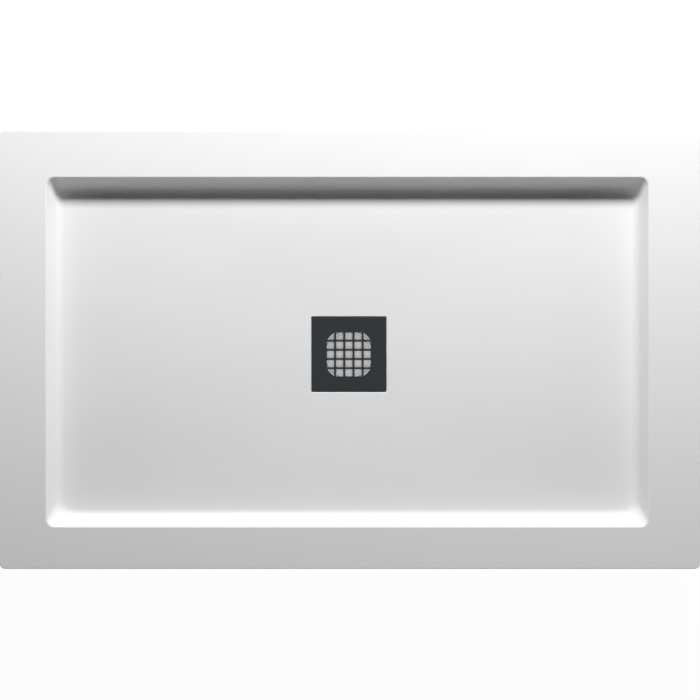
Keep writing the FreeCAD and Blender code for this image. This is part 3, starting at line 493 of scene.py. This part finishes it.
def round_drain_ring(radius, level):
    """A circle about the drain, with a point in the direction of each of a square's."""
    points = []
    for point in drain_ring(REBATE_HALF, REBATE_CORNER, level):
        out = (point.xy - DRAIN.xy).normalized() * radius
        points.append(Vector((DRAIN.x + out.x, DRAIN.y + out.y, level)))
    return points


def cap_rings():
    """Every ring of the cap: up its outside, down into the basin and back below."""
    rings = [
        cap_ring(inset(OUTLINE, SKIRT_EASE), CORNER - SKIRT_EASE, CAP_LOW.z),
        cap_ring(OUTLINE, CORNER, CAP_LOW.z + SKIRT_EASE),
        cap_ring(OUTLINE, CORNER, RIM_TOP - EDGE_FILLET - SUPPORT),
    ]
    for angle in arc_steps(90, EDGE_STEPS):
        side = EDGE_FILLET * (1 - math.cos(angle))
        level = RIM_TOP - EDGE_FILLET * (1 - math.sin(angle))
        rings.append(cap_ring(inset(OUTLINE, side), CORNER - side, level))
    rings += brow_rings()
    rings += foot_rings()
    rings += floor_rings(REBATE_HALF + DRAIN_CHAMFER, REBATE_CORNER + DRAIN_CHAMFER)

    rebate_floor = DRAIN_LEVEL - REBATE_DEPTH
    seat = rebate_floor - SEAT_DEPTH
    rings += [
        drain_ring(REBATE_HALF, REBATE_CORNER, DRAIN_LEVEL - DRAIN_CHAMFER),
        drain_ring(REBATE_HALF, REBATE_CORNER, rebate_floor),
        round_drain_ring(SEAT_RADIUS, rebate_floor),
        round_drain_ring(SEAT_RADIUS, seat),
        round_drain_ring(HOLE_RADIUS, seat),
        round_drain_ring(HOLE_RADIUS, seat - BACK),
        round_drain_ring(SEAT_RADIUS + BACK, seat - BACK),
        round_drain_ring(SEAT_RADIUS + BACK, rebate_floor - BACK),
        drain_ring(REBATE_HALF + BACK, REBATE_CORNER + BACK, rebate_floor - BACK),
    ]
    rings += reversed(floor_rings(REBATE_HALF + BACK, REBATE_CORNER + BACK, BACK))
    rings += reversed(foot_rings(BACK))
    rings += [
        wall_ring(-BACK * math.tan(WALL_SLOPE / 2), RIM_TOP - BACK),
        cap_ring(inset(OUTLINE, BACK), CORNER - BACK, RIM_TOP - BACK),
        cap_ring(inset(OUTLINE, BACK), CORNER - BACK, CAP_LOW.z),
    ]
    return rings


def make_cap():
    """The white skin: rim, basin, drain recess and skirt, with its back."""
    shape = bmesh.new()
    rows = join_all(shape, cap_rings())
    join_rings(shape, rows[-1], rows[0])
    add_piece("cap", to_mesh(shape, "cap"), "acrylic_cap")


# ---------------------------------------------------------------- drain cover

COVER_HALF = (COVER_HIGH.x - COVER_LOW.x) / 2
COVER_CORNER, COVER_BEVEL, HOLE_BEVEL = 1 * MM, 0.4 * MM, 0.3 * MM
HOLE_HALF, HOLE_CORNER, HOLE_PITCH = 6.25 * MM, 1.4 * MM, 15.8 * MM
HOLES_EACH_WAY = 5
FIELD_RADIUS = 45 * MM
CORNER_STEPS, SIDE_STEPS, BORDER_STEPS, BEVEL_STEPS = 5, 8, 8, 3
HALVINGS = 30


def crossing(inside, outside):
    """Where a straight edge meets the round field's border."""
    for _ in range(HALVINGS):
        middle = (inside + outside) / 2
        if middle.length < FIELD_RADIUS:
            inside = middle
        else:
            outside = middle
    return middle


def clipped_to_field(loop):
    """A loop about the origin without what lies outside the round field."""
    kept = []
    for point, after in zip(loop, loop[1:] + loop[:1]):
        if point.length < FIELD_RADIUS:
            kept.append(point)
        if (point.length < FIELD_RADIUS) != (after.length < FIELD_RADIUS):
            ends = sorted((point, after), key=lambda end: end.length)
            kept.append(crossing(*ends))
    if len(kept) == len(loop):
        return kept
    on_border = [i for i, p in enumerate(kept) if abs(p.length - FIELD_RADIUS) < CLEARANCE / 10]
    first, last = on_border
    if last != first + 1:
        kept = kept[last:] + kept[:last]
        first, last = 0, 1
    start = math.atan2(kept[first].y, kept[first].x)
    end = math.atan2(kept[last].y, kept[last].x)
    arc = []
    for step in range(1, BORDER_STEPS):
        angle = mix(start, end, step / BORDER_STEPS)
        arc.append(FIELD_RADIUS * Vector((math.cos(angle), math.sin(angle))))
    return kept[: first + 1] + arc + kept[last:]


def offset_loop(loop, distance):
    """The loop with each point moved to its right, by a mitred distance."""
    moved = []
    for i, point in enumerate(loop):
        before = (point - loop[i - 1]).normalized()
        after = (loop[(i + 1) % len(loop)] - point).normalized()
        normals = [Vector((way.y, -way.x)) for way in (before, after)]
        middle = (normals[0] + normals[1]).normalized()
        moved.append(point + middle * distance / middle.dot(normals[0]))
    return moved


def flat_loop(centre, half, corner, side_steps):
    """A rounded square as flat points."""
    steps = (CORNER_STEPS, side_steps, side_steps)
    return [point.xy for point in rounded_box(square(centre, half), corner, 0, *steps)]


def bevelled_wall(shape, loop, bevel, outwards):
    """The wall of the plate's outline or of a hole, bevelled at its top and bottom."""
    top, bottom = COVER_HIGH.z, COVER_LOW.z
    profile = [
        (bevel * (1 - math.sin(angle)), top - bevel * (1 - math.cos(angle)))
        for angle in arc_steps(90, BEVEL_STEPS)
    ]
    lower = bevel / 2
    profile += [(0, bottom + lower), (lower, bottom)]
    rings = []
    for distance, level in profile:
        flat = offset_loop(loop, -distance if outwards else distance)
        rings.append([Vector((DRAIN.x + p.x, DRAIN.y + p.y, level)) for p in flat])
    return join_all(shape, rings)


def make_drain_cover():
    """The square cover with its round field of square holes."""
    shape = bmesh.new()
    outline = flat_loop(Vector((0, 0, 0)), COVER_HALF, COVER_CORNER, 1)
    walls = [bevelled_wall(shape, outline, COVER_BEVEL, True)]
    places = [(i - (HOLES_EACH_WAY - 1) / 2) * HOLE_PITCH for i in range(HOLES_EACH_WAY)]
    for y in places:
        for x in places:
            square_hole = flat_loop(Vector((x, y, 0)), HOLE_HALF, HOLE_CORNER, SIDE_STEPS)
            hole = clipped_to_field(square_hole)
            walls.append(bevelled_wall(shape, hole, HOLE_BEVEL, False))
    fill_between(shape, [wall[0] for wall in walls])
    fill_between(shape, [wall[-1] for wall in walls])
    add_piece("perforated_cover", to_mesh(shape, "perforated_cover"), "drain_cover")


# ---------------------------------------------------------------- trim under the cover

TRIM_STEPS = 96
BELL_PLATE_EDGE, BELL_PLATE_RISE, BELL_PLATE_HEM = 37.9 * MM, 0.5 * MM, 1.2 * MM
BELL_PLATE_HOLE, BELL_PLATE_BEVEL = 20 * MM, 0.2 * MM
FLANGE_PLATE, FLANGE_PLATE_RISE = (41.6 * MM, 56.2 * MM), 0.3 * MM
RING_PLATE, RING_PLATE_DEPTH = (37.95 * MM, 40.55 * MM), 0.4 * MM
RING_EASE = 0.1 * MM


def add_trim(name, shape, node):
    """A thin turned skin of stainless steel about the drain, that rides with a node."""
    add_piece(name, to_mesh(shape, name), node, (DRAIN.x, DRAIN.y, 0), trim=True)


def make_bell_plate():
    """The pressed plate on the bell's disc, that shows through the cover."""
    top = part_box("siphon_bell")[1].z
    level, hem = top + BELL_PLATE_RISE, top - BELL_PLATE_HEM
    profile = [
        (BELL_PLATE_HOLE, level),
        (BELL_PLATE_EDGE - BELL_PLATE_BEVEL, level),
        (BELL_PLATE_EDGE, level - BELL_PLATE_BEVEL),
        (BELL_PLATE_EDGE, hem),
        (BELL_PLATE_EDGE - BELL_PLATE_BEVEL, hem),
    ]
    shape = bmesh.new()
    close_ends(shape, join_all(shape, turned(profile, TRIM_STEPS)))
    add_trim("bell_plate", shape, "siphon_bell")


def flat_ring(inner, outer, bottom, top):
    """A thin flat ring with its upper edges eased."""
    profile = [
        (inner, bottom),
        (inner, top - RING_EASE),
        (inner + RING_EASE, top),
        (outer - RING_EASE, top),
        (outer, top - RING_EASE),
        (outer, bottom),
    ]
    shape = bmesh.new()
    rows = join_all(shape, turned(profile, TRIM_STEPS))
    join_rings(shape, rows[-1], rows[0])
    return shape


def make_flange_plate():
    """The pressed ring on the waste flange, round its mouth."""
    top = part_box("waste_flange")[1].z
    shape = flat_ring(*FLANGE_PLATE, top - CLEARANCE, top + FLANGE_PLATE_RISE)
    add_trim("flange_plate", shape, "waste_flange")


def make_ring_plate():
    """The steel edge of the centring ring, where the cover's outer holes show it."""
    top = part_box("cover_centring_ring")[1].z
    shape = flat_ring(*RING_PLATE, top - RING_PLATE_DEPTH, top + CLEARANCE)
    add_trim("ring_plate", shape, "cover_centring_ring")


# ---------------------------------------------------------------- screws

# shares of the head's radius or height, and of the shank's radius
HEAD_FLAT, HEAD_RISE, HEAD_EDGE = 0.55, 0.55, 0.12
TIP_RADIUS, TIP_LENGTH = 0.3, 1.5
CROSS_REACH, CROSS_HALF, CROSS_DEPTH = 0.5, 0.11, 0.6
CROSS_FOOT_REACH, CROSS_FOOT_HALF = 0.45, 0.8
SCREW_STEPS, HEAD_STEPS = 24, 5


def cross_loop(reach, half, level):
    """The outline of a cross, for a screwdriver."""
    quarter = [(half, -reach), (half, -half), (reach, -half)]
    points = []
    for turn in range(4):
        spin = Matrix.Rotation(turn * math.pi / 2, 4, "Z")
        for x, y in quarter:
            points.append(spin @ Vector((x, y, level)))
    return points


def pan_head_screw(length, head_radius, head_height, shank_radius):
    """A screw with its head upwards, and the head's underside at the origin."""
    tip_level = -(length - head_height)
    shape = bmesh.new()
    rise = head_height * HEAD_RISE
    edge = head_height * HEAD_EDGE
    head = []
    for angle in arc_steps(90, HEAD_STEPS):
        radius = mix(head_radius * HEAD_FLAT, head_radius, math.sin(angle))
        head.append((radius, head_height - rise * (1 - math.cos(angle))))
    body = [
        (head_radius, edge),
        (head_radius - edge, 0),
        (shank_radius, 0),
        (shank_radius, tip_level + shank_radius * TIP_LENGTH),
        (shank_radius * TIP_RADIUS, tip_level),
    ]
    rows = join_all(shape, turned(head + body, SCREW_STEPS))
    fill_between(shape, [rows[-1]])
    reach, half = head_radius * CROSS_REACH, head_radius * CROSS_HALF
    foot_reach, foot_half = reach * CROSS_FOOT_REACH, half * CROSS_FOOT_HALF
    upper = cross_loop(reach, half, head_height)
    lower = cross_loop(foot_reach, foot_half, head_height * (1 - CROSS_DEPTH))
    recess = join_all(shape, [upper, lower])
    fill_between(shape, [rows[0], recess[0]])
    fill_between(shape, [recess[1]])
    return to_mesh(shape, "screw")


def join_copies(name, mesh, places):
    """One mesh that holds a copy of another at each place."""
    shape = bmesh.new()
    for place in places:
        copy = mesh.copy()
        copy.transform(place)
        shape.from_mesh(copy)
        bpy.data.meshes.remove(copy)
    bpy.data.meshes.remove(mesh)
    return to_mesh(shape, name)


SPIN_STEP = math.radians(37)
LEG_SCREW = {"head_radius": 4.8 * MM, "head_height": 2.6 * MM, "shank_radius": 2.45 * MM}
LEG_SCREW_SPACING = 33 * MM
FLANGE_SCREW = {"head_radius": 3.8 * MM, "head_height": 2.4 * MM, "shank_radius": 2.25 * MM}
FLANGE_SCREW_CIRCLE = 37 * MM


def make_leg_screws():
    """Four screws in each leg's flange, with their heads down."""
    low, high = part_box("leg_screws")
    level = UP * (low.z + LEG_SCREW["head_height"])
    over = Matrix.Rotation(math.pi, 4, "X")
    places = []
    for leg in LEGS:
        low_corner, high_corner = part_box(f"{leg}_leg_socket")
        middle = middle_of(low_corner, high_corner)
        for x, y in ((1, 1), (-1, 1), (-1, -1), (1, -1)):
            at = middle + Vector((x, y, 0)) * LEG_SCREW_SPACING + level
            spin = Matrix.Rotation(SPIN_STEP * len(places), 4, "Z")
            places.append(Matrix.Translation(at) @ spin @ over)
    mesh = pan_head_screw(high.z - low.z, **LEG_SCREW)
    add_piece("leg_screw_set", join_copies("leg_screw_set", mesh, places), "leg_screws")


def make_flange_screws():
    """The four screws that clamp the trap, round the drain."""
    low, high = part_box("flange_screws")
    level = UP * (high.z - FLANGE_SCREW["head_height"])
    middle = Vector((DRAIN.x, DRAIN.y, 0))
    places = []
    for quarter in range(4):
        angle = quarter * math.pi / 2
        out = Vector((math.cos(angle), math.sin(angle), 0)) * FLANGE_SCREW_CIRCLE
        spin = Matrix.Rotation(SPIN_STEP * quarter, 4, "Z")
        places.append(Matrix.Translation(middle + out + level) @ spin)
    mesh = pan_head_screw(high.z - low.z, **FLANGE_SCREW)
    add_piece("flange_screw_set", join_copies("flange_screw_set", mesh, places), "flange_screws")


# ---------------------------------------------------------------- legs

THREAD_PITCH, THREAD_DEPTH = 1.75 * MM, 1.07 * MM
THREAD_STEPS, TURNS_BELOW, TURNS_ABOVE = 36, 2, 1
THREAD_SHAPE = ((0.0, 1), (0.24, 1), (0.44, 0), (0.8, 0))
STUD_RADIUS, PIN_RADIUS = 6 * MM, 5 * MM
COLLAR_FLATS, COLLAR_HEIGHT, PIN_LENGTH = 17 * MM, 6 * MM, 7 * MM
STUD_CHAMFER, COLLAR_EASE, PIN_EASE = 1.2 * MM, 1.1 * MM, 1 * MM
COLLAR_TURNED = COLLAR_FLATS / 2 * 1.02
STUD_STEPS = 48
SIXTH = math.radians(60)


def thread(shape, bottom, top):
    """A helical thread between two levels, cut off square at both."""
    per_turn = len(THREAD_SHAPE)
    turns = TURNS_BELOW + math.ceil((top - bottom) / THREAD_PITCH) + TURNS_ABOVE
    start = bottom - TURNS_BELOW * THREAD_PITCH
    columns = []
    for step in range(THREAD_STEPS):
        share = step / THREAD_STEPS
        angle = 2 * math.pi * share
        column = []
        for turn in range(turns):
            for place, crest in THREAD_SHAPE:
                level = start + (turn + place + share) * THREAD_PITCH
                radius = STUD_RADIUS - THREAD_DEPTH * (1 - crest)
                radius = min(radius, STUD_RADIUS - STUD_CHAMFER + max(top - level, 0))
                point = (radius * math.cos(angle), radius * math.sin(angle), level)
                column.append(shape.verts.new(point))
        columns.append(column)
    for step, column in enumerate(columns):
        last = step == THREAD_STEPS - 1
        after = columns[0][per_turn:] if last else columns[step + 1]
        for i in range(min(len(column), len(after)) - 1):
            shape.faces.new((column[i], after[i], after[i + 1], column[i + 1]))
    for level, way in ((bottom, -1), (top, 1)):
        parts = shape.verts[:] + shape.edges[:] + shape.faces[:]
        cut = bmesh.ops.bisect_plane(
            shape, geom=parts, plane_co=UP * level, plane_no=UP * way, clear_outer=True
        )
        border = [item for item in cut["geom_cut"] if isinstance(item, bmesh.types.BMEdge)]
        bmesh.ops.edgeloop_fill(shape, edges=border)


def collar_ring(level, reach):
    """The collar's hexagon at a level, with what lies past the reach turned off."""
    points = []
    for angle in arc_steps(360, STUD_STEPS)[:-1]:
        from_flat = angle - SIXTH * round(angle / SIXTH)
        radius = min(COLLAR_FLATS / 2 / math.cos(from_flat), reach)
        points.append(Vector((radius * math.cos(angle), radius * math.sin(angle), level)))
    return points


def stud_mesh():
    """A threaded stud about the Z axis: pin, hexagon collar and M12 thread."""
    low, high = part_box(f"{LEGS[0]}_leg_stud")
    collar = low.z + PIN_LENGTH
    collar_top = collar + COLLAR_HEIGHT
    shape = bmesh.new()
    thread(shape, collar_top - CLEARANCE, high.z)
    rings = [
        circle(PIN_RADIUS - PIN_EASE, low.z, STUD_STEPS),
        circle(PIN_RADIUS, low.z + PIN_EASE, STUD_STEPS),
        circle(PIN_RADIUS, collar, STUD_STEPS),
        collar_ring(collar, COLLAR_TURNED),
        collar_ring(collar + COLLAR_EASE, COLLAR_FLATS),
        collar_ring(collar_top - COLLAR_EASE, COLLAR_FLATS),
        collar_ring(collar_top, COLLAR_TURNED),
    ]
    close_ends(shape, join_all(shape, rings))
    return to_mesh(shape, "stud")


def make_studs():
    """A threaded stud for each leg."""
    mesh = stud_mesh()
    for leg in LEGS:
        node = f"{leg}_leg_stud"
        low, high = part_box(node)
        add_piece(f"{leg}_threaded_stud", mesh.copy(), node, middle_of(low, high))
    bpy.data.meshes.remove(mesh)


GROOVES, GROOVE_DEPTH, GROOVE_WIDTH = (6 * MM, 12 * MM, 18 * MM), 0.9 * MM, 1.8 * MM
GROOVE_SLOPE, SOLE_EASE, SOLE_STEPS = GROOVE_WIDTH / 4, 1 * MM, 64


def sole_mesh(low, high):
    """A rubber sole about the Z axis, as large as a box, with round grooves below."""
    radius = (high.x - low.x) / 2
    profile = []
    for groove in GROOVES:
        end = groove + GROOVE_WIDTH
        profile += [
            (groove, low.z),
            (groove + GROOVE_SLOPE, low.z + GROOVE_DEPTH),
            (end - GROOVE_SLOPE, low.z + GROOVE_DEPTH),
            (end, low.z),
        ]
    profile += [(radius - SOLE_EASE, low.z), (radius, low.z + SOLE_EASE), (radius, high.z)]
    shape = bmesh.new()
    close_ends(shape, join_all(shape, turned(profile, SOLE_STEPS)))
    return to_mesh(shape, "sole")


def make_soles():
    """Rubber soles with round grooves in the face that grips the floor."""
    for leg in LEGS:
        node = f"{leg}_foot_sole"
        low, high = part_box(node)
        add_piece(f"{leg}_grooved_sole", sole_mesh(low, high), node, middle_of(low, high))


# ---------------------------------------------------------------- stage, lamps, camera

FLOOR_SIZE, FLOOR_FADE_START, FLOOR_FADE_END = 40.0, 0.9, 2.2
FLOOR_GLOW, FLOOR_DIFFUSE, FLOOR_BOUNCE = 0.965, 0.06, 0.8


def seen_directly(tree):
    """1 for rays from the camera, from gloss and through glass, and 0 for the rest."""
    path = tree.nodes.new("ShaderNodeLightPath")
    result = path.outputs["Is Camera Ray"]
    for name in ("Is Glossy Ray", "Is Transmission Ray"):
        both = tree.nodes.new("ShaderNodeMath")
        both.operation = "MAXIMUM"
        tree.links.new(result, both.inputs[0])
        tree.links.new(path.outputs[name], both.inputs[1])
        result = both.outputs["Value"]
    return result


def make_world():
    """White where it is seen, and without light of its own: the lamps do that."""
    world = bpy.data.worlds.new("studio")
    world.use_nodes = True
    bpy.context.scene.world = world
    tree = world.node_tree
    dark = tree.nodes["Background"]
    dark.inputs["Strength"].default_value = 0
    white = tree.nodes.new("ShaderNodeBackground")
    white.inputs["Color"].default_value = (1, 1, 1, 1)
    choice = tree.nodes.new("ShaderNodeMixShader")
    tree.links.new(seen_directly(tree), choice.inputs["Fac"])
    tree.links.new(dark.outputs[0], choice.inputs[1])
    tree.links.new(white.outputs[0], choice.inputs[2])
    tree.links.new(choice.outputs[0], tree.nodes["World Output"].inputs["Surface"])


def floor_material():
    """White where it is seen, with the object's shadow on it, and open to what is below."""
    material = bpy.data.materials.new("studio_floor")
    material.use_nodes = True
    tree = material.node_tree
    nodes, links = tree.nodes, tree.links
    nodes.remove(nodes["Principled BSDF"])

    def add(kind, **values):
        node = nodes.new(kind)
        for name, value in values.items():
            node.inputs[name].default_value = value
        return node

    distance = add("ShaderNodeVectorMath")
    distance.operation = "LENGTH"
    links.new(add("ShaderNodeTexCoord").outputs["Object"], distance.inputs[0])
    fade = add("ShaderNodeMapRange", **{"From Min": FLOOR_FADE_START, "From Max": FLOOR_FADE_END})
    fade.interpolation_type = "SMOOTHSTEP"
    links.new(distance.outputs["Value"], fade.inputs["Value"])

    glow = add("ShaderNodeEmission", Strength=FLOOR_GLOW)
    shade = add("ShaderNodeBsdfDiffuse", Color=(FLOOR_DIFFUSE,) * 3 + (1,))
    near = add("ShaderNodeAddShader")
    links.new(glow.outputs[0], near.inputs[0])
    links.new(shade.outputs[0], near.inputs[1])
    far = add("ShaderNodeEmission", Strength=1.0)
    seen = add("ShaderNodeMixShader")
    links.new(fade.outputs["Result"], seen.inputs["Fac"])
    links.new(near.outputs[0], seen.inputs[1])
    links.new(far.outputs[0], seen.inputs[2])

    bounce = add("ShaderNodeBsdfDiffuse", Color=(FLOOR_BOUNCE,) * 3 + (1,))
    lit = add("ShaderNodeMixShader")
    links.new(seen_directly(tree), lit.inputs["Fac"])
    links.new(bounce.outputs[0], lit.inputs[1])
    links.new(seen.outputs[0], lit.inputs[2])
    open_to = add("ShaderNodeMath")
    open_to.operation = "MAXIMUM"
    links.new(add("ShaderNodeNewGeometry").outputs["Backfacing"], open_to.inputs[0])
    links.new(add("ShaderNodeLightPath").outputs["Is Shadow Ray"], open_to.inputs[1])
    below = add("ShaderNodeMixShader")
    links.new(open_to.outputs["Value"], below.inputs["Fac"])
    links.new(lit.outputs[0], below.inputs[1])
    links.new(add("ShaderNodeBsdfTransparent").outputs[0], below.inputs[2])
    links.new(below.outputs[0], nodes["Material Output"].inputs["Surface"])
    return material


def add_sheet(name, corners):
    """Puts one flat face in the scene."""
    mesh = bpy.data.meshes.new(name)
    mesh.from_pydata(corners, [], [(0, 1, 2, 3)])
    sheet = bpy.data.objects.new(name, mesh)
    bpy.context.scene.collection.objects.link(sheet)
    return sheet


def make_floor():
    """A wide floor just below the feet."""
    half = FLOOR_SIZE / 2
    corners = [(-half, -half, 0), (half, -half, 0), (half, half, 0), (-half, half, 0)]
    floor = add_sheet("studio_floor", corners)
    floor.location.z = -CLEARANCE
    floor.data.materials.append(floor_material())


# azimuth from the front round by the right, elevation, distance, width, height, watts
CEILING_LAMPS = {
    "back_window": (180, 33, 3.4, 1.6, 1.1, 202),
    "back_right_window": (157, 31, 3.4, 1.6, 0.8, 96),
}
LOW_LAMPS = {
    "front_low": (0, 4, 3.0, 1.8, 0.8, 20),
    "left_low": (-90, 4, 3.0, 1.8, 0.8, 14),
    "right_low": (90, 4, 3.0, 1.8, 0.8, 18),
    "underneath": (0, -90, 2.5, 2.4, 1.8, 40),
}


def make_lamp(name, azimuth, elevation, distance, width, height, watts):
    """A soft panel of light, and the direction from the tray to it."""
    a, e = math.radians(azimuth), math.radians(elevation)
    out = Vector((math.sin(a) * math.cos(e), -math.cos(a) * math.cos(e), math.sin(e)))
    data = bpy.data.lights.new(name, "AREA")
    data.shape = "RECTANGLE"
    data.size, data.size_y = width, height
    data.energy = watts
    lamp = bpy.data.objects.new(name, data)
    lamp.location = UP * RIM_TOP + out * distance
    lamp.visible_camera = False
    bpy.context.scene.collection.objects.link(lamp)
    return lamp, out


def make_lamps():
    """Panels that face straight down from the ceiling, and low ones that face the tray."""
    for name, values in CEILING_LAMPS.items():
        make_lamp(name, *values)
    for name, values in LOW_LAMPS.items():
        lamp, out = make_lamp(name, *values)
        lamp.rotation_euler = out.to_track_quat("Z", "Y").to_euler()


FLAG_OVERHANG, FLAG_GAP, FLAG_RISE = 15 * MM, 8 * MM, 5.8 * MM


def make_flag():
    """A card close behind the tray, that nothing but the lamps can see.

    It keeps the windows' light on the tray's top and off its upright back edge.
    """
    left, right = CAP_LOW.x - FLAG_OVERHANG, CAP_HIGH.x + FLAG_OVERHANG
    y, bottom, top = CAP_HIGH.y + FLAG_GAP, CAP_LOW.z, RIM_TOP + FLAG_RISE
    corners = [(left, y, bottom), (right, y, bottom), (right, y, top), (left, y, top)]
    flag = add_sheet("back_flag", corners)
    flag.visible_camera = False
    flag.visible_diffuse = False
    flag.visible_glossy = False
    flag.visible_transmission = False


LENS, SENSOR, CLIP_END = 200, 36, 100
FRAME_WIDTH = 1.198
CAMERA_Y = -0.4 * MM


def make_camera():
    """Straight above the tray, with the photograph's width of the rim in view."""
    data = bpy.data.cameras.new("camera")
    data.lens, data.sensor_width = LENS, SENSOR
    data.clip_end = CLIP_END
    camera = bpy.data.objects.new("camera", data)
    camera.location = (0, CAMERA_Y, RIM_TOP + FRAME_WIDTH * LENS / SENSOR)
    bpy.context.scene.collection.objects.link(camera)
    bpy.context.scene.camera = camera


# ---------------------------------------------------------------- the scene

for node in frame["nodes"]:
    paint_node(node)
make_cap()
make_drain_cover()
make_bell_plate()
make_flange_plate()
make_ring_plate()
make_leg_screws()
make_flange_screws()
make_studs()
make_soles()
make_world()
make_floor()
make_lamps()
make_flag()
make_camera()
bpy.context.scene.view_settings.view_transform = "Standard"
